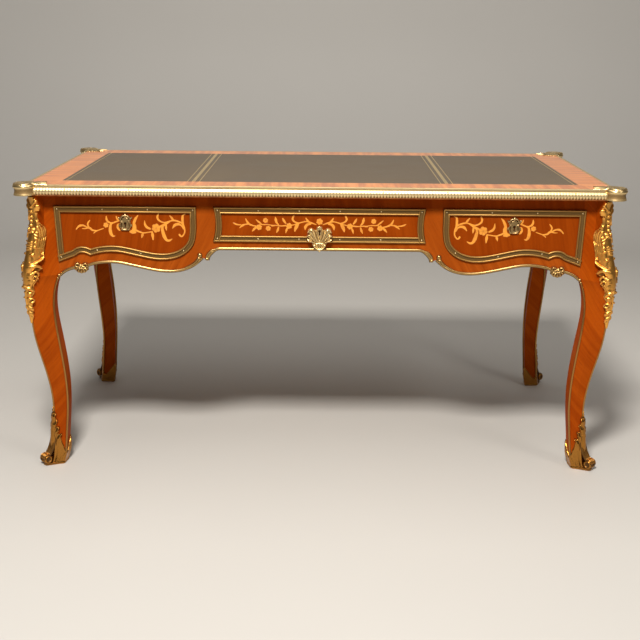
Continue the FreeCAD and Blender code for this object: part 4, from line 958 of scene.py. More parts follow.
drawer_low, drawer_high = (Vector(corner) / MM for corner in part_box("left_drawer_front"))
centre_low, centre_high = (Vector(corner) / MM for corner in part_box("centre_drawer_front"))
LINE_Z = drawer_high[2]
DRAWER_SLANT, CENTRE_SPLAY, CENTRE_HOLLOW = 6.0, 2.0, 5.5
LOBE = [(0, 149, 22), (37, 135, 18), (63, 123.5, 0), (85, 130.5, -28)]
SWELL = [(85, 130.5, 20), (143, 120.5, 0), (211, 131.5, -13)]
BELLY_BACK, BELLY_DROP = 90.5, 140.8
ROUND_CORNER = [(20.5, 115, 44), (0, 48, 90)]
END_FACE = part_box("side_frieze_left")[0][0] / MM
POST_Y = 326.0
FRAME_PROFILE = [(0, 0, 0.8), (0, 4.6, 0.4), (0.8, 5.7, 0.1), (2, 6, 0), (3.2, 5.7, 0.1), (4, 4.6, 0.5),
                 (4.4, 3, 1), (8, 2.5, 0.75), (11.6, 3, 1), (12, 4.6, 0.5), (12.8, 5.7, 0.1), (14, 6, 0),
                 (15.2, 5.7, 0.1), (16, 4.6, 0.4), (16, 0, 0.8)]
FRAME_MIDDLE, CHANNEL_RISE, FRAME_PIN_PITCH = 8.0, 2.5, 118.0


def side_drawer_outline():
    """Left drawer front, clockwise from its lower outer corner, as (x, z)."""
    origin = (drawer_low[0] + DRAWER_SLANT, LINE_Z)
    span = drawer_high[0] - origin[0]
    swell = SWELL + [(span - BELLY_BACK, BELLY_DROP, 0)]
    swell += [(span - back, drop, heading) for back, drop, heading in ROUND_CORNER]
    corners = [(drawer_high[0], LINE_Z), (drawer_low[0], LINE_Z)]
    return np.vstack([flow(LOBE, origin), flow(swell, origin)[1:], corners])


def with_mirror(half):
    """A half outline and its other half, mirrored about the middle line."""
    return half + [(-a, b) for a, b in reversed(half)]


def centre_drawer_outline():
    """Centre drawer front, its ends a little hollow, as (x, z)."""
    top, foot = centre_high[0] - CENTRE_SPLAY, centre_high[0]
    low = centre_low[2]
    waist = top - CENTRE_HOLLOW
    hollow = []
    for t in np.linspace(-1, 1, 13):
        end = top if t > 0 else foot
        hollow.append((waist + (abs(t) ** 2) * (end - waist), (low + LINE_Z) / 2 + t * (LINE_Z - low) / 2))
    return np.array(with_mirror(hollow))


def end_panel_outline():
    """Frame on the left end, as (y, z)."""
    origin = (-POST_Y + DRAWER_SLANT, LINE_Z)
    swell = SWELL + [(POST_Y - DRAWER_SLANT, BELLY_DROP, 0)]
    half = np.vstack([flow(LOBE, origin), flow(swell, origin)[1:]])
    other = half[-2::-1] * (-1, 1)
    return np.vstack([half, other, [(POST_Y, LINE_Z), (-POST_Y, LINE_Z)]])


def on_left_end(a, b, rise):
    return np.stack([END_FACE - rise, a, b], -1)


def frame_pins(outline, place, turn):
    """Pins along the channel: at the sharp corners and evenly between them."""
    ahead = np.roll(outline, -1, 0) - outline
    ahead /= np.hypot(*ahead.T)[:, None]
    behind = np.roll(ahead, 1, 0)
    lean = np.sum(ahead * behind, 1)
    normal = np.stack([-ahead[:, 1], ahead[:, 0]], 1) + np.stack([-behind[:, 1], behind[:, 0]], 1)
    middle = outline + normal * (FRAME_MIDDLE / (1 + lean))[:, None]
    corners = [k for k in range(len(outline)) if lean[k] < 0.5]
    pins = []
    for first, last in zip(corners, corners[1:] + [corners[0] + len(outline)]):
        stretch = np.array([middle[k % len(outline)] for k in range(first, last + 1)])
        length = np.concatenate([[0], np.cumsum(np.hypot(*np.diff(stretch, axis=0).T))])
        count = max(1, round(length[-1] / FRAME_PIN_PITCH))
        for k in range(count):
            spot = [np.interp(length[-1] * k / count, length, stretch[:, axis]) for axis in (0, 1)]
            pins.append((*place(spot[0], spot[1], CHANNEL_RISE), TURNS[turn]))
    return pins


side_outline, centre_outline = side_drawer_outline(), centre_drawer_outline()
end_outline = end_panel_outline()
left_frame = sweep(side_outline, on_front, FRAME_PROFILE, True)
centre_frame = sweep(centre_outline, on_front, FRAME_PROFILE, True)
end_frame = sweep(end_outline, on_left_end, FRAME_PROFILE, True)
right_frame = mirrored(left_frame, x=True)
left_pins = frame_pins(side_outline, on_front, "front")
right_pins = [(-x, y, z, turn) for x, y, z, turn in left_pins]
centre_pins = frame_pins(centre_outline, on_front, "front")
for drawer, frame_part, pins in (("left", left_frame, left_pins), ("centre", centre_frame, centre_pins),
                                 ("right", right_frame, right_pins)):
    make_piece(drawer + "_drawer_moulding", [frame_part], antique, drawer + "_drawer",
               [drawer + "_drawer_frame"])
    set_castings(drawer + "_drawer_pins", pins, [pin_head()], gilt, drawer + "_drawer")
blind_frames = [mirrored(part, y=True) for part in (left_frame, centre_frame, right_frame)]
make_piece("panel_mouldings", blind_frames + [end_frame, mirrored(end_frame, x=True)], antique, "carcass",
           ["panel_frames"])
panel_pins = [(x, -y, z, TURNS["back"]) for x, y, z, turn in left_pins + centre_pins + right_pins]
end_pins = frame_pins(end_outline, on_left_end, "left")
panel_pins += end_pins + [(-x, y, z, TURNS["right"]) for x, y, z, turn in end_pins]


# Beads along the aprons: round bronze hung a little below the wooden edge and pinned to it. Each run
# ends at a shell or in a small bud.
KNEE_DROP, POST_X = 184.0, 692.0
INNER_SPAN = POST_X + drawer_high[0]
APRON_LOBE = [(0, KNEE_DROP, 47), (39, 163, 12), (60.5, 164, -20)]
APRON_RISE = [(60.5, 164, 30), (138, 145.8, 0)]
FRONT_SWELL = APRON_RISE + [(212, 157.7, -12.5), (INNER_SPAN - 72.5, 170, 0), (INNER_SPAN - 14, 155.4, 30),
                            (INNER_SPAN + 12.5, 134, 45)]
NICK_SPAN = INNER_SPAN + 26.5
FRONT_ARCH = [(NICK_SPAN, 141, 84), (NICK_SPAN + 18, 114, 40), (NICK_SPAN + 56, 107.5, 0)]
END_SWELL = APRON_RISE + [(0.69 * POST_Y, 157.7, -11), (POST_Y, 170, 0)]
BEAD, BEAD_HANG, BEAD_CREASE = 4.5, 2.5, 50.0
BEAD_TURNS = np.radians(np.arange(0, 360, 30))
# Painted shade: the lower half of each bead is darkened.
BEAD_ROUND = np.stack([BEAD * np.cos(BEAD_TURNS) - BEAD_HANG, BEAD * np.sin(BEAD_TURNS),
                       np.clip(-np.cos(BEAD_TURNS), 0, 1)], 1)
FRONT_POST, END_POST = (-POST_X, LINE_Z), (-POST_Y, LINE_Z)


lobe_path, swell_path = flow(APRON_LOBE, FRONT_POST), flow(FRONT_SWELL, FRONT_POST)
arch_half = flow(FRONT_ARCH, FRONT_POST)
arch_path = np.vstack([arch_half, arch_half[::-1] * (-1, 1)])
end_lobe, end_half = flow(APRON_LOBE, END_POST), flow(END_SWELL, END_POST)
end_path = np.vstack([end_half, end_half[-2::-1] * (-1, 1)])
left_beads = [sweep(path, on_front, BEAD_ROUND) for path in (lobe_path, swell_path)]
front_beads = left_beads + [mirrored(part, x=True) for part in left_beads]
front_beads.append(sweep(arch_path, on_front, BEAD_ROUND))
end_beads = [sweep(path, on_left_end, BEAD_ROUND) for path in (end_lobe, end_path)]
end_beads.append(mirrored(end_beads[0], y=True))
all_beads = front_beads + [mirrored(part, y=True) for part in front_beads]
all_beads += end_beads + [mirrored(part, x=True) for part in end_beads]
bead_bronze = bronze("bead_bronze", (0.52, 0.325, 0.12), (0.070, 0.032, 0.006), 0.34)
make_piece("apron_mouldings", all_beads, bead_bronze, "carcass", ["apron_beads"], BEAD_CREASE)


# Corner mounts: chased bronze castings that ride over the knee of each leg, pinned to the canted corner.
# Two ribbed wings flank a stem of beads and leaves that trails down the leg.
class LegSkin:
    """Outside of the front left leg, unrolled: millimetres round from the nose, and height. With a girth
    it goes all the way round, scaled to that half-girth."""
    ROW, REACH, EASES = 2.0, 100.0, 3
    NOSE_AWAY, HEEL_AWAY, HIT_AWAY = 40, 200, 150
    HIT_LAST, HIT_STEP = 178.2, 1.65

    def __init__(self, low, high, girth=None):
        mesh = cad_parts["leg_front_left"].data
        mesh.calc_loop_triangles()
        triangles = [triangle.vertices[:] for triangle in mesh.loop_triangles]
        tree = BVHTree.FromPolygons([vertex.co / MM for vertex in mesh.vertices], triangles, epsilon=0.01)
        self.low = low
        self.reach = girth or self.REACH
        self.around = np.arange(-self.reach, self.reach + 0.5, 1.0)
        table = np.array([self.ring(tree, z, girth) for z in np.arange(low, high + self.ROW, self.ROW)])
        for axis in (1, 0):
            for _ in range(self.EASES):
                wide = np.pad(table, [(1, 1) if k == axis else (0, 0) for k in range(3)], mode="edge")
                if girth and axis == 1:
                    wide = np.concatenate([table[:, -2:-1], table, table[:, 1:2]], 1)
                count = table.shape[axis]
                shares = enumerate((0.25, 0.5, 0.25))
                table = sum(np.take(wide, range(k, k + count), axis) * share for k, share in shares)
        self.places = table
        along, up = np.gradient(table, axis=1), np.gradient(table, axis=0)
        if girth:
            along[:, 0] = along[:, -1] = (table[:, 1] - table[:, -2]) / 2
        up = np.concatenate([up, np.full(up.shape[:2] + (1,), self.ROW)], 2)
        along = np.concatenate([along, np.zeros(along.shape[:2] + (1,))], 2)
        normal = np.cross(along, up)
        self.normals = normal / np.maximum(np.linalg.norm(normal, axis=2, keepdims=True), 1e-9)

    def ring(self, tree, z, girth):
        """Plan of the leg at one height, from ray hits about its middle; a shoe bridges its hollows."""
        z = min(max(z, LEG_FOOT), LEG_HEAD)
        diagonal = Vector((1, 1, 0)).normalized()
        nose = tree.ray_cast(Vector((-HALF_WIDTH, -HALF_DEPTH, z)) - diagonal * self.NOSE_AWAY, diagonal)[0]
        heel = tree.ray_cast(nose + diagonal * self.HEEL_AWAY + Vector((0.1, -0.1, 0)), -diagonal)[0]
        middle = nose * 0.55 + heel * 0.45
        hits = []
        for turn in np.radians(np.arange(-self.HIT_LAST, self.HIT_LAST + 0.1, self.HIT_STEP)):
            aim = Vector((-math.cos(turn + math.pi / 4), -math.sin(turn + math.pi / 4), 0))
            hits.append(tree.ray_cast(middle + aim * self.HIT_AWAY, -aim)[0][:2])
        hits = np.array([heel[:2]] + hits + [heel[:2]])
        front = len(hits) // 2
        if girth:
            kept = sorted({0, front, len(hits) - 1, *geometry.convex_hull_2d([Vector(hit) for hit in hits])})
            hits, front = hits[kept], kept.index(front)
        length = np.concatenate([[0], np.cumsum(np.hypot(*np.diff(hits, axis=0).T))])
        length -= length[front]
        spots = self.around * (length[-1] / girth) if girth else self.around
        return np.stack([np.interp(spots, length, hits[:, axis]) for axis in (0, 1)], 1)

    def look_up(self, table, s, z):
        row = np.clip((z - self.low) / self.ROW, 0, table.shape[0] - 1.001)
        column = np.clip(s + self.reach, 0, table.shape[1] - 1.001)
        r, c = row.astype(int), column.astype(int)
        a, b = (row - r)[:, None], (column - c)[:, None]
        return ((table[r, c] * (1 - b) + table[r, c + 1] * b) * (1 - a)
                + (table[r + 1, c] * (1 - b) + table[r + 1, c + 1] * b) * a)

    def lift(self, s, z, height):
        flat = self.look_up(self.places, s, z)
        spots = np.concatenate([flat, z[:, None]], 1)
        return spots + self.look_up(self.normals, s, z) * height[:, None]


HALF_WIDTH, HALF_DEPTH = -side_edge_low[0], -edge_low[1]
LEG_FOOT, LEG_HEAD = (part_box("leg_front_left")[k][2] / MM + inner for k, inner in ((0, 0.5), (1, -2.0)))
MOUNT_PLATE, MOUNT_EDGE, MOUNT_SUNK, MOUNT_STEP = 3.5, 1.5, 1.4, 1.25
CASTING_CREASE = 60.0
MOUNT_OUTLINE = [(14, 746), (20, 738), (22.5, 724), (20, 713), (18, 706), (17.5, 692), (19, 683),
                 (30, 674.5), (44, 667), (54, 654), (53.5, 639), (49, 624), (48.5, 612), (49, 602),
                 (47.5, 590), (44.5, 580), (34.5, 577), (24, 573.5), (32, 570), (43.5, 564), (45, 555.5),
                 (35.5, 552.5), (37.5, 544), (34.5, 535), (30.5, 529.5), (24.5, 521.5), (19.5, 515),
                 (20, 500), (17.5, 491), (12, 485.5), (15, 475.5), (13, 467.5), (9, 462.5), (11, 452),
                 (9, 440), (8, 428), (4, 418), (2, 410)]
MOUNT_BODY = [([(0, 744), (0, 715), (0, 690), (0, 662)], (14, 14, 13, 12), (6, 6.5, 6.5, 7), 0),
              ([(0, 662), (0, 640), (0, 615), (0, 598)], (12, 14, 14, 13), (8, 9.5, 10, 10.5), 0),
              ([(0, 602), (0, 575), (0, 548), (0, 522), (0, 500)], (12, 15, 16, 14, 11),
               (10, 12.5, 13, 11.5, 10), 0),
              ([(0, 505), (0, 480), (0, 455), (0, 436), (0, 412)], (11, 11, 9, 7, 2.5),
               (9.5, 10, 9.5, 8, 6), 0),
              ([(24, 668), (38, 650), (42, 632), (38, 612), (34, 594)], (7, 13, 13, 11, 8),
               (4.5, 5.5, 5.5, 5, 4.5), 0)]
MOUNT_STROKES = [
    ([(12.5, 708), (17, 719), (19.5, 725), (21, 718), (18.5, 712)], (2.6, 3.4, 3.8, 3.4, 2.4),
     (4, 6, 6.5, 6, 4), 0),
    ([(6, 724), (13.5, 731), (18, 738)], (2.4, 3.6, 2.0), (3.5, 5, 3.5), 0.25),
    ([(17, 707), (16.5, 693), (19.5, 683), (28.5, 675), (40, 666), (48, 655), (49.5, 642), (46.5, 628),
      (45, 614), (45, 602), (43.5, 591)], (2.2, 2.6, 3.0, 2.8, 2.6, 2.6), (4, 4.5, 5, 3.4, 3, 3.4), 0),
    ([(26, 673), (36, 661), (41.5, 646), (39.5, 630), (37.5, 613)], (2.0, 2.8, 3.1, 2.8, 1.8),
     (3, 3.8, 4, 3.8, 2.5), 0),
    ([(21, 673), (29, 661), (34, 646), (32.5, 630), (30.5, 613)], (2.0, 2.8, 3.1, 2.8, 1.8),
     (3, 3.8, 4, 3.8, 2.5), 0),
    ([(18, 669), (22.5, 659), (26.5, 646), (25.5, 631), (23.5, 614)], (1.8, 2.6, 3.0, 2.6, 1.8),
     (3, 4, 4.2, 4, 3), 0),
    ([(43, 595), (42.5, 586), (35, 580.5), (26, 577), (15, 572)], (3.0, 4.0, 4.2, 4.2, 3.6),
     (6, 8, 8.5, 8, 6), 0),
    ([(0, 652), (8, 655), (14, 650), (15.5, 640)], (2.6, 3.0, 3.0, 2.0), (5, 5.5, 5, 3.5), 0),
    ([(12, 552), (14.5, 562), (20, 568.5), (29.5, 566), (39, 559)], (3, 4.6, 5.6, 5.4, 3.2),
     (5, 8, 10, 10.5, 8), 0.12),
    ([(12.5, 535), (16, 547), (22, 552.5), (28.5, 550), (32, 544.5)], (2.6, 3.6, 4.2, 4.0, 2.6),
     (4.5, 7, 9, 9, 7), 0.12),
    ([(12.5, 525), (16.5, 536), (22, 541), (27, 538), (29.5, 533)], (2.4, 3.4, 3.8, 3.6, 2.4),
     (4, 6.5, 8, 8, 6), 0.12),
    ([(11.5, 515), (15, 525), (19.5, 529), (23, 525)], (2.2, 3.0, 3.2, 2.2), (4, 6, 7, 5.5), 0.12),
    ([(0, 513), (6, 511.5), (10.5, 507), (13.5, 500)], (3.8, 3.8, 3.6, 2.8), (7.5, 7.5, 7, 5.5), 0),
    ([(11, 516), (14, 508), (17.5, 499)], (2.0, 2.8, 1.8), (4, 5, 4), 0.2),
    ([(7, 482), (12, 480), (14, 474.5), (9.5, 470)], (2.6, 3.3, 3.4, 2.6), (6, 7, 7, 5.5), 0),
    ([(4, 460), (8, 452), (10, 444)], (2.4, 3.0, 1.8), (4, 5, 3.5), 0.2),
    ([(3, 444), (7, 436), (8, 428)], (2.2, 2.8, 1.6), (4, 5, 3.5), 0.2),
    ([(0, 498), (0, 470), (0, 440)], (2.5, 2.5, 1.6), (3.5, 3.5, 2.5), 0)]
MOUNT_BEADS = [(0, 721, 4.6, 5.2), (0, 707.5, 4.6, 5.2), (0, 694, 4.6, 5.2), (0, 682.5, 4.4, 5.2),
               (0, 671, 4.4, 5.2), (9.5, 661, 5.4, 6.5), (17.5, 654, 2.8, 3.4), (18.5, 646.5, 2.8, 3.4),
               (18, 638.5, 2.8, 3.4), (17.5, 628, 2.8, 3.4), (17, 617, 2.8, 3.4), (14, 596, 4.2, 5),
               (9.5, 495.5, 3.4, 4), (8, 433, 3.0, 3.4)]
MOUNT_BARS = range(626, 602, -6)


def corner_mount():
    mount = Carving((-66, 406), (66, 747), MOUNT_STEP)
    edge = smooth_line(MOUNT_OUTLINE, 4)
    mount.plate(np.vstack([edge, edge[::-1] * (-1, 1)]), MOUNT_PLATE, MOUNT_EDGE)
    mount.chase(MOUNT_BODY)
    mount.settle()
    mount.chase(MOUNT_STROKES, MOUNT_BEADS)
    for z in MOUNT_BARS:
        mount.stroke([(-11, z + 2), (0, z), (11, z + 2)], (1.6, 2.4, 1.6), (1.5, 2.4, 1.5))
    return mount.solid(LegSkin(404, 748).lift, MOUNT_SUNK, mount.hollows(8, 2.4))


def on_four_corners(parts):
    """Names and mirror copies of a front left piece."""
    copies = []
    for name in CORNERS:
        copies.append((name, [mirrored(part, x="right" in name, y="back" in name) for part in parts]))
    return copies


# The mounts' gilt is warm orange: partly its own aged colour, partly a painted warm reflection.
aged_and_reflecting_gilt = bronze("aged_gilt_and_reflection", (0.93, 0.45, 0.092), (0.075, 0.027, 0.003), 0.34)
for corner, parts in on_four_corners([corner_mount()]):
    make_piece("corner_mount_" + corner, parts, aged_and_reflecting_gilt, "carcass", ["chute_" + corner],
               CASTING_CREASE)


# Shoes: hollow castings slipped over the foot of each leg and pinned. Leaves climb the corner and the
# heel, flutes run down the ankle, and the toe curls out into a scroll.
FOOT_GIRTH, SHOE_TOP, SHOE_CELLS = 76.0, 166.0, 108
SHOE_PLATE, SHOE_EDGE, SHOE_SUNK = 4.0, 1.5, 1.6
SHOE_OUTLINE = [(0, 164), (4, 150), (6.5, 140), (5, 134), (9, 126), (12, 114), (10, 108), (16, 102),
                (19, 92), (17, 86), (23, 80), (27, 64), (32, 50), (38, 37), (43, 29), (47, 28), (52, 33),
                (60, 43), (67, 53), (72, 60), (76, 68)]
SHOE_STROKES = [([(0, 30), (0, 80), (0, 130), (0, 162)], (7, 6, 4.5, 1.6), (5, 6.5, 7, 4), 0.2),
                ([(3, 122), (4, 134), (6, 142)], (2.6, 3.2, 1.6), (7, 8.5, 6), 0.2),
                ([(4, 96), (7, 112), (11, 124)], (3, 4.2, 2.0), (6.5, 9, 6), 0.2),
                ([(9, 74), (12, 92), (17, 104)], (3.2, 4.6, 2.2), (6, 9, 6), 0.2),
                ([(15, 54), (18, 72), (24, 85)], (3.2, 4.6, 2.2), (6, 8.5, 5.5), 0.2),
                ([(10, 6), (9, 40), (10, 78)], (3.4, 3.2, 2.2), (5.5, 5.5, 5), 0.0),
                ([(18, 6), (18, 34), (19, 58)], (3.4, 3.0, 2.0), (5.0, 5.0, 4.5), 0.0),
                ([(28, 8), (28, 34), (31, 52)], (3.4, 3.0, 2.0), (4.6, 4.8, 4.5), 0.0),
                ([(33, 12), (36, 26), (41, 34)], (2.6, 2.6, 1.8), (4.4, 5.0, 5.0), 0.0),
                ([(54, 30), (60, 40), (66, 50), (71, 58)], (1.8, 2.2, 2.4, 1.6), (4.4, 5, 5.5, 5), 0.0),
                ([(76, 8), (76, 34), (76, 66)], (6, 5.5, 1.8), (5, 6, 4.5), 0.2),
                ([(64, 8), (66, 28), (70, 46)], (3.4, 3.2, 2.2), (4.6, 5, 5), 0.0),
                ([(-8, 3.5), (20, 3.5), (48, 3.5), (78, 3.5)], (3.6, 3.6), (5.6, 5.6), 0.0)]
SHOE_HUSKS = [(0, 160, 2.8, 5.5), (0, 152.5, 3.2, 6.5), (0, 144.5, 3.6, 7.5), (5.5, 139, 3.0, 7.5),
              (11, 122, 3.0, 7.5), (17, 102, 3.2, 7.5), (24, 83, 3.2, 7)]
TOE_AT, TOE_ROUND, TOE_TURNS, TOE_HALF = (28.3, 18.5), 13.5, 1.2, 12.5
TOE_EYE = [(0.5, -0.6, 1), (3.0, -1.0, 1), (6.4, -0.4, 1), (7.4, 1.6, 0.5), (8.6, 2.4, 0), (10.4, 2.2, 0),
           (11.2, 0.6, 0.3), (11.2, -4.0, 0.8)]
TOE_EYE_SIDES, TOE_STEPS, TOE_START, TOE_CURL, TOE_BACK = 20, 44, math.radians(112), 6.5, -4.0
TOE_HOLLOW, TOE_HOLLOW_AT, TOE_HOLLOW_WIDE = 4.5, -0.1, 0.45
TOE_SLIDE = [(-1, 104), (1.5, 84), (5, 66), (11, 49), (18, 37)]
TOE_REFERENCE = 40.0
TOE_RIDGES = [(-1, -0.4), (-0.88, 1.2), (-0.68, -0.5), (-0.46, 1.3), (-0.24, -0.3), (0, 1.7)]
SOLE_OUT, SOLE_TALL, SOLE_SIDES = 3.0, 5.5, 60
TOE_PAD_BACK, TOE_PAD_LONG, TOE_PAD_HALF, TOE_PAD_STEPS = 4.0, 10.0, 11.5, 11


def on_diagonal(outward_by, z, across):
    """Places by distance outwards along the corner's diagonal, height, and distance across it."""
    inset = TOE_REFERENCE - outward_by / math.sqrt(2)
    aside = across / math.sqrt(2)
    return np.stack([-HALF_WIDTH + inset + aside, -HALF_DEPTH + inset - aside, z], -1)


def toe_eye(side):
    """Dished round at one end of the roll, its rim standing proud."""
    turns = np.arange(TOE_EYE_SIDES) * 2 * math.pi / TOE_EYE_SIDES
    rings, shade = [], []
    for radius, out, recess in TOE_EYE:
        rings.append(on_diagonal(TOE_AT[0] + radius * np.cos(turns), TOE_AT[1] + radius * np.sin(turns),
                                 side * np.full(TOE_EYE_SIDES, TOE_HALF + out)))
        shade += [recess] * TOE_EYE_SIDES
    return np.vstack(rings), capped_rings(len(rings), TOE_EYE_SIDES), np.array(shade)


def scrolled_toe():
    """Fluted band that slides down the ankle and rolls up, hollowed in front, with an eye at each end."""
    turn = np.linspace(0, 1, TOE_STEPS)
    angle = TOE_START - turn * TOE_TURNS * 2 * math.pi
    hollow = np.exp(-((angle - TOE_HOLLOW_AT) / TOE_HOLLOW_WIDE) ** 2)
    radius = TOE_ROUND - TOE_CURL * turn - TOE_HOLLOW * hollow
    roll = np.stack([TOE_AT[0] + radius * np.cos(angle), TOE_AT[1] + radius * np.sin(angle)], 1)
    slide = smooth_line(TOE_SLIDE + [tuple(roll[0]), tuple(roll[3])], 6)[:-7]
    ridges = TOE_RIDGES + [(-place, lift) for place, lift in TOE_RIDGES[-2::-1]]
    profile = [(lift, place * TOE_HALF, 0.8 if lift < 0 else 0.0) for place, lift in ridges]
    profile += [(TOE_BACK, 0.96 * TOE_HALF, 0.8), (TOE_BACK, -0.96 * TOE_HALF, 0.8)]
    points, faces, shade = sweep(np.vstack([slide, roll]), on_diagonal, profile)
    # Painted shade: the hollow across the front of the roll is darkened.
    dark = np.repeat(np.concatenate([np.zeros(len(slide)), hollow]), len(profile))
    return [(points, faces, np.maximum(shade, dark)), toe_eye(1), toe_eye(-1)]


def shoe_sole(skin):
    """Flat plate under the foot and the toe."""
    around = np.linspace(-FOOT_GIRTH, FOOT_GIRTH, SOLE_SIDES + 1)[:-1]
    level_out = np.full(SOLE_SIDES, SOLE_OUT)
    rim = skin.lift(around, level_out, level_out)[:, :2]
    turns = np.linspace(-math.pi / 2, math.pi / 2, TOE_PAD_STEPS)
    toe = on_diagonal(TOE_AT[0] - TOE_PAD_BACK + TOE_PAD_LONG * np.cos(turns), np.zeros(TOE_PAD_STEPS),
                      TOE_PAD_HALF * np.sin(turns))[:, :2]
    spots = [Vector(spot) for spot in np.vstack([rim, toe])]
    rim = np.array([spots[k] for k in geometry.convex_hull_2d(spots)])
    points = np.vstack([np.column_stack([rim, np.full(len(rim), z)]) for z in (0.0, SOLE_TALL)])
    return points, capped_rings(2, len(rim)), np.full(len(points), 0.5)


def shoe():
    skin = LegSkin(0, SHOE_TOP, FOOT_GIRTH)
    cast = Carving((-FOOT_GIRTH, 0), (FOOT_GIRTH, SHOE_TOP), 2 * FOOT_GIRTH / SHOE_CELLS)
    outline = SHOE_OUTLINE + [(FOOT_GIRTH + 3, SHOE_OUTLINE[-1][1]), (FOOT_GIRTH + 3, -4)]
    cast.plate(with_mirror(outline), SHOE_PLATE, SHOE_EDGE)
    cast.chase(SHOE_STROKES, SHOE_HUSKS)
    return [cast.solid(skin.lift, SHOE_SUNK, cast.hollows(7, 2.2), True), shoe_sole(skin)] + scrolled_toe()


shoe_bronze = bronze("shoe_bronze", (0.47, 0.205, 0.038), (0.050, 0.021, 0.003), 0.25)
for corner, parts in on_four_corners(shoe()):
    make_piece("shoe_" + corner, parts, shoe_bronze, "carcass", ["sabot_" + corner],
               CASTING_CREASE)


# Corner clasps: cast ears that hold the mitres of the bronze edge. The sides are hollowed, the
# top is chased with scrolls, and leaf tips lap over the moulding and onto the board.
CLASP_INSET, CLASP_STEP, CLASP_TURN, CLASP_CREASE = 10.0, 1.2, 4.0, 50.0
CLASP_DOME, CLASP_RIM, CLASP_EASE = 3.0, 29.0, 5.0
CLASP_LEAF, CLASP_LEAF_EDGE, CLASP_SUNK = 1.4, 1.0, 0.6
# Painted shade: the hollowed side of each ear is darkened, and its top rings stay bright.
CLASP_SIDES = [(27.4, -26.7, 0.8), (28.0, -25.6, 0.2), (27.3, -23.4, 0.5), (26.0, -20, 0.8),
               (25.2, -16, 0.9), (25.4, -12, 0.8), (27.2, -8, 0.5), (29.0, -5.8, 0.1), (29.4, -4, 0),
               (28.8, -1.6, 0), (27.2, 0.6, 0), (24, 2.4, 0.2), (19, 3.0, 0.3)]
CLASP_STROKES = [([(-3, 5), (-13, 8), (-19, 16), (-12, 23), (0, 23), (9, 17), (7, 9), (0, 9)],
                  (2.0, 2.4, 2.4, 2.2, 2.0), (2.2, 2.8, 2.6, 2), 0.0),
                 ([(-24, 0), (-20, 8), (-22, 14)], (2.4, 2.8, 2), (2, 2.6, 2), 0.0),
                 ([(4, 14), (18, 20), (30, 31), (40, 43)], (3, 5.5, 5, 1.6), (2.5, 3.6, 3.6, 2), 0.3),
                 ([(10, 6), (24, 10), (36, 18), (45, 28)], (3, 5, 4.6, 1.6), (2.4, 3.4, 3.4, 2), 0.3),
                 ([(12, 2), (30, 4), (46, 10), (56, 16)], (3, 4.6, 4.4, 1.6), (2.4, 3.4, 3.4, 2), 0.3),
                 ([(6, 0), (28, 0), (48, 0), (67, 0)], (4, 5.5, 5, 1.6), (2.6, 3.8, 3.8, 2), 0.3)]
CLASP_PLATE = [(-20, 0), (-18, 14), (-6, 24), (10, 22), (24, 27), (30, 22), (38, 20), (44, 12), (52, 6),
               (60, 0)]


def clasp():
    """Ear and its chased top, on the front left corner."""
    heart = np.array([-HALF_WIDTH + CLASP_INSET, -HALF_DEPTH + CLASP_INSET])
    turns = np.radians(np.arange(0, 360, CLASP_TURN))
    rings, shade = [], []
    for radius, rise, recess in CLASP_SIDES:
        rings.append(np.column_stack([heart[0] + radius * np.cos(turns), heart[1] + radius * np.sin(turns),
                                      np.full(len(turns), TOP_Z + rise)]))
        shade += [recess] * len(turns)
    ear = (np.vstack(rings), capped_rings(len(rings), len(turns)), np.array(shade))
    chased = Carving((-28, -48), (70, 48), CLASP_STEP)
    chased.plate(CLASP_PLATE + [(a, -b) for a, b in reversed(CLASP_PLATE)], CLASP_LEAF, CLASP_LEAF_EDGE)
    for side in (1, -1):
        for path, widths, rises, vein in CLASP_STROKES:
            chased.stroke([(a, side * b) for a, b in path], widths, rises, vein)

    def on_top(a, b, height):
        x, y = heart[0] + (a + b) / math.sqrt(2), heart[1] + (a - b) / math.sqrt(2)
        dome = CLASP_DOME * np.clip((CLASP_RIM - np.hypot(a, b)) / CLASP_EASE, 0, 1)
        return np.stack([x, y, TOP_Z + dome + height], -1)

    return [ear, chased.solid(on_top, CLASP_SUNK, chased.hollows(4, 1.4))]


clasp_parts = [part for name, parts in on_four_corners(clasp()) for part in parts]
clasp_gilt = bronze("clasp_gilt", (0.97, 0.72, 0.35), (0.16, 0.080, 0.018), 0.30)
make_piece("corner_clasps_chased", clasp_parts, clasp_gilt, "carcass", ["corner_clasps"],
           CLASP_CREASE)


# Small castings on the aprons: a shell of curled lobes where the curves meet at a cusp, and leaves
# with a round bud where the beads end beside the knee-hole.
SHELL_AT, SHELL_DOME, SHELL_ROUND, SHELL_STEP = (60.5, 164.0), 3.0, 21, 0.9
CASTING_PLATE, CASTING_EDGE, SHELL_SUNK, KNEE_SUNK = 2.4, 1.2, 0.5, 2.0
SHELL_STROKES = [([(0, -2), (0, -8), (0, -14)], (2.0, 3.2, 2.6), (3, 4.6, 3.6), 0),
                 ([(3.5, -2), (7, -7), (8.5, -12)], (2.0, 3.2, 2.6), (3, 4.6, 3.6), 0),
                 ([(6, 0), (12, -3), (16.5, -5.5)], (2.0, 3.0, 2.6), (3, 4.6, 3.6), 0),
                 ([(2, 4), (11, 2), (16, 5.5), (12.5, 11), (6.5, 10)], (2.4, 2.6, 3.2, 3.4, 2.6),
                  (3, 4.5, 5.6, 6, 5), 0)]
SHELL_PLATE = [(0, 8), (5, 13), (12, 14.5), (18, 10), (19.5, 3), (18.5, -5), (12, -12.5), (4, -15.5),
               (0, -16)]
BUD_STROKES = [([(-38, -33), (-21, -26), (-9, -18), (-2, -8)], (2.6, 5.0, 6.4, 5.4), (4, 6, 7, 6), 0.4),
               ([(19.5, -9), (22.5, 2), (31, 12), (46, 19)], (3.8, 5.4, 5.0, 2.4), (5, 6.5, 6, 4), 0.35)]
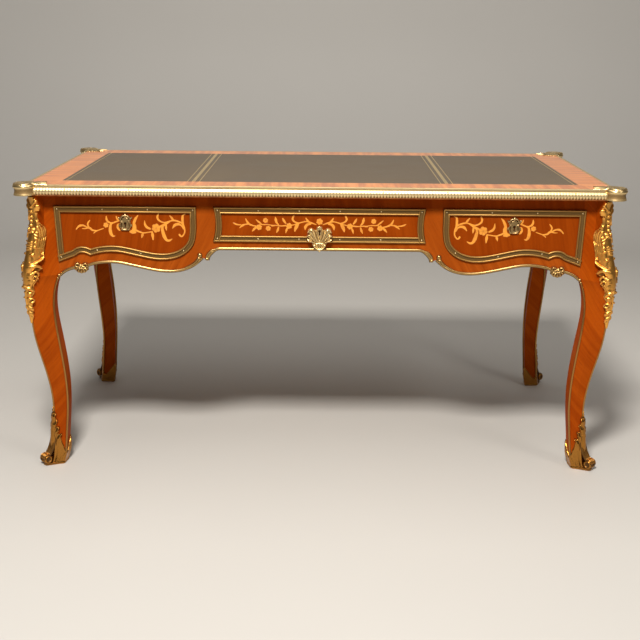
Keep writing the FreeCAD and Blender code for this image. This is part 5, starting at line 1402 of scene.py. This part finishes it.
BUD_BEADS = [(1, 1.5, 7.0, 7.0), (19.5, -8, 4.6, 6)]
BUD_AT = (INNER_SPAN + 7.0, 130.0)
KNEE_BEADS = [(-0.5, -2, 5.0, 6.0), (-4, -10, 3.8, 5.0)]


def small_casting(low, high, strokes, beads, place, sunk, plate=None):
    """A casting drawn whole, or as the half of one that has a plate."""
    cast = Carving(low, high, SHELL_STEP)
    if plate:
        cast.plate(with_mirror(plate), CASTING_PLATE, CASTING_EDGE)
        cast.settle()
    cast.chase(strokes, beads, (1, -1) if plate else (1,))
    return cast.solid(place, sunk, cast.hollows(6, 1.8))


def shell(origin, place):
    def domed(a, b, height):
        rise = SHELL_DOME * np.clip(1 - (a ** 2 + b ** 2) / SHELL_ROUND ** 2, 0, 1)
        return place(origin[0] + SHELL_AT[0] + a, origin[1] - SHELL_AT[1] + b, rise + height)
    return small_casting((-24, -20), (24, 23), SHELL_STROKES, [], domed, SHELL_SUNK, SHELL_PLATE)


def bud(origin):
    def upright(a, b, height):
        return on_front(origin[0] + BUD_AT[0] + a, origin[1] - BUD_AT[1] + b, height)
    return small_casting((-44, -42), (58, 27), BUD_STROKES, BUD_BEADS, upright, SHELL_SUNK)


def knee_beads(origin, place):
    def at_knee(a, b, height):
        return place(origin[0] + a, origin[1] - KNEE_DROP + b, height)
    return small_casting((-10, -18), (8, 8), [], KNEE_BEADS, at_knee, KNEE_SUNK)


front_shell, end_shell = shell(FRONT_POST, on_front), shell(END_POST, on_left_end)
front_knee, end_knee = knee_beads(FRONT_POST, on_front), knee_beads(END_POST, on_left_end)
corner_castings = (front_shell, end_shell, bud(FRONT_POST), front_knee, end_knee)
apron_castings = []
for flip_x in (False, True):
    for flip_y in (False, True):
        apron_castings += [mirrored(part, flip_x, flip_y) for part in corner_castings]
make_piece("apron_castings", apron_castings, bead_bronze, "carcass", ["apron_shells"],
           CASTING_CREASE)


# Keyhole mounts: small rocaille plates on the side drawers and a palmette on the centre one, cast and
# pinned. Each is pierced for its key.
KEY_EYE, KEY_SLOT_HALF, KEY_LONG, KEY_STEP, KEY_PLATE_SUNK = 3.2, 1.4, 11.0, 0.8, 0.3
SIDE_KEY = ((drawer_low[0] + drawer_high[0]) / 2, LINE_Z - 45.0)
CENTRE_KEY_Z = LINE_Z - 59.0
PLATE_OUTLINE = [(0, 16), (7, 15), (10, 8), (9, 0), (10, -7), (7, -14), (0, -16)]
PLATE_STROKES = [([(-1, 20), (6, 20), (12, 14), (12, 6), (7, 3)], (2.6, 2.8, 2.8, 2.4, 1.6),
                  (4, 5, 5, 4), 0.0),
                 ([(9, 6), (13, -2), (12, -10), (6, -16), (0, -17)], (1.6, 2.6, 2.8, 2.8, 2.4),
                  (3.5, 5, 5, 4.5), 0.0),
                 ([(11, 12), (15, 13), (18, 17)], (2.2, 2.4, 1.2), (4, 4.5, 3), 0.2),
                 ([(13, -3), (16, -4), (17.5, -8)], (2, 2.2, 1.2), (4, 4.5, 3), 0.2),
                 ([(0, 17), (0, 21), (0, 25)], (3, 3.2, 1.4), (4, 5.5, 3), 0.2),
                 ([(5, -15.5), (9, -17), (12, -15)], (2, 2.4, 1.4), (4, 4.5, 3), 0.0)]
FAN_FOOT = LINE_Z - 115.0
FAN_STROKES = [([(0, 27), (3, 37), (6.5, 48), (7.5, 58), (5, 65.5), (-1, 68)],
                (1.4, 2.0, 2.2, 2.2, 2.0, 1.8), (4.5, 6, 6.5, 7, 6.5, 6), 0.0),
               ([(5, 27), (10.5, 40), (14.5, 52), (19.5, 60.5), (26.5, 59.5), (30.5, 52)],
                (1.5, 2.4, 3.2, 3.6, 3.2, 2.2), (5.5, 8, 9.5, 11, 11, 8.5), 0.2),
               ([(9.5, 26.5), (17, 35), (23, 43), (28.5, 45.5), (32.5, 41)],
                (1.4, 2.2, 2.7, 2.8, 2.2), (5.5, 8, 9.5, 10.5, 8.5), 0.2),
               ([(14, 26), (21.5, 28.5), (28, 30.5), (31.5, 34.5)], (1.5, 2.6, 3.2, 2.2),
                (6, 9, 10.5, 8.5), 0.0),
               ([(-2, 22.5), (8, 23), (15, 22)], (1.3, 1.5, 1.3), (4.5, 5, 4.5), 0.0),
               ([(0, 20), (0, 15), (0, 11)], (2.4, 2.8, 2.4), (4.5, 6, 5), 0.0),
               ([(6.5, 20), (6.5, 15.5), (5.5, 12)], (2.2, 2.6, 2.2), (4.5, 6, 5), 0.0),
               ([(12.5, 20), (12.5, 17), (11, 14)], (2.0, 2.4, 2.0), (4.5, 6, 5), 0.0),
               ([(-1, 8.5), (7, 9.5), (13, 13.5), (16.5, 20)], (2.3, 2.3, 2.1, 1.6), (7.5, 7.5, 7, 6), 0.0),
               ([(0, 7), (0, 4), (0, 1.5)], (4.5, 3.6, 2.0), (5, 4.5, 3), 0.0)]
FAN_PLATE = [(0, 70), (7, 68), (10, 58), (18, 63), (27, 62), (31, 53), (25.5, 48.5), (33, 41.5),
             (27, 36.5), (32, 31), (20, 25.5), (17, 21), (15.5, 12), (8, 6), (0, 1)]
FAN_STAND, FAN_BULGE, FAN_HALF = FRAME_PROFILE[3][1] + 0.6, 4.0, 36
LUG_IN, LUG_OUT, LUG_FOOT, LUG_HEAD, LUG_LAP = 7, 14, 44, 54, 3.0


def keyhole_inside(cast, key):
    """Above zero within a keyhole about key."""
    eye = KEY_EYE - np.hypot(cast.u - key[0], cast.v - key[1])
    length = np.minimum(key[1] - cast.v, cast.v - key[1] + KEY_LONG)
    return np.maximum(eye, np.minimum(KEY_SLOT_HALF - abs(cast.u - key[0]), length))


def key_mount(low, high, plate, strokes, key, place, sunk):
    cast = Carving(low, high, KEY_STEP)
    cast.plate(with_mirror(plate), CASTING_PLATE, CASTING_EDGE)
    cast.chase(strokes)
    cast.pierce(keyhole_inside(cast, key))
    return cast.solid(place, sunk, cast.hollows(9, 1.5))


def on_side_key(a, b, height):
    return on_front(SIDE_KEY[0] + a, SIDE_KEY[1] + b, height)


def on_centre_key(a, b, height):
    bulge = FAN_BULGE * np.clip(1 - (a / FAN_HALF) ** 2, 0, 1)
    return on_front(a, FAN_FOOT + b, FAN_STAND + bulge + height)


plate_part = key_mount((-21, -24), (21, 28), PLATE_OUTLINE, PLATE_STROKES, (0, 0), on_side_key,
                       KEY_PLATE_SUNK)
centre_key = (0, CENTRE_KEY_Z - FAN_FOOT)
fan_part = key_mount((-38, -2), (38, 77), FAN_PLATE, FAN_STROKES, centre_key, on_centre_key, 0.0)
right_lug = box_part((LUG_IN, FRONT_Y - FAN_STAND - LUG_LAP, FAN_FOOT + LUG_FOOT),
                     (LUG_OUT, FRONT_Y, FAN_FOOT + LUG_HEAD))
left_lug = box_part((-LUG_OUT, FRONT_Y - FAN_STAND - LUG_LAP, FAN_FOOT + LUG_FOOT),
                    (-LUG_IN, FRONT_Y, FAN_FOOT + LUG_HEAD))
key_bronze = bronze("key_plate_bronze", (0.47, 0.315, 0.14), (0.045, 0.024, 0.007), 0.36)
make_piece("left_key_plate", [plate_part], key_bronze, "left_drawer",
           ["left_drawer_escutcheon"], CASTING_CREASE)
make_piece("right_key_plate", [mirrored(plate_part, x=True)], key_bronze, "right_drawer",
           ["right_drawer_escutcheon"], CASTING_CREASE)
make_piece("centre_palmette", [fan_part, right_lug, left_lug], clasp_gilt, "centre_drawer",
           ["centre_drawer_escutcheon"], CASTING_CREASE)


# Beads down the legs: thin bronze rods along the inner edges of both faces, and down the corner between
# the mount and the shoe. The last of the pins, those of the edge and the panels, go in with them.
LEG_ROD, ROD_PROUD, ROD_SIDES, ROD_PITCH, ROD_EASES, ROD_LEAN = 2.7, 1.2, 8, 8.0, 8, 0.6
EDGE_ROD_FOOT, EDGE_ROD_HEAD, NOSE_ROD_FOOT, NOSE_ROD_HEAD = 33.0, 534.0, 150.0, 426.0


def leg_rods():
    """Rods along the front edge, the side edge and the corner of the front left leg."""
    skin = LegSkin(26, 540)
    turn = np.arange(ROD_SIDES) * 2 * math.pi / ROD_SIDES
    ring = np.stack([LEG_ROD * np.cos(turn), LEG_ROD * np.sin(turn), np.zeros(ROD_SIDES)], 1)
    rods = []
    for on_edge, low, high in ((True, EDGE_ROD_FOOT, EDGE_ROD_HEAD), (False, NOSE_ROD_FOOT, NOSE_ROD_HEAD)):
        line = []
        for z in np.arange(low, high, ROD_PITCH):
            row = skin.places[int((z - skin.low) / skin.ROW)]
            nose = len(row) // 2
            if on_edge:
                edge = row[nose + np.argmax(row[nose:, 0] - ROD_LEAN * row[nose:, 1])]
                line.append((edge[0] + ROD_PROUD, edge[1] - ROD_PROUD, z))
            else:
                line.append((*row[nose], z))
        line = np.array(line)
        for _ in range(ROD_EASES):
            line[1:-1, :2] = (line[:-2, :2] + 2 * line[1:-1, :2] + line[2:, :2]) / 4
        points = (line[:, None, :] + ring[None]).reshape(-1, 3)
        faces, shade = capped_rings(len(line), ROD_SIDES), np.zeros(len(points))
        rods.append((points, faces, shade))
        if on_edge:
            swapped = points[:, [1, 0, 2]] + np.array([HALF_DEPTH - HALF_WIDTH, HALF_WIDTH - HALF_DEPTH, 0])
            rods.append((swapped, faces, shade))
    return rods


rod_bronze = bronze("rod_bronze", (0.46, 0.235, 0.065), (0.06, 0.026, 0.004), 0.34)
rod_parts = [part for name, parts in on_four_corners(leg_rods()) for part in parts]
make_piece("leg_rods", rod_parts, rod_bronze, "carcass", ["leg_beads"], CASTING_CREASE)
set_castings("carcass_pins", edge_pins + panel_pins, [pin_head()], aged_and_reflecting_gilt, "carcass")
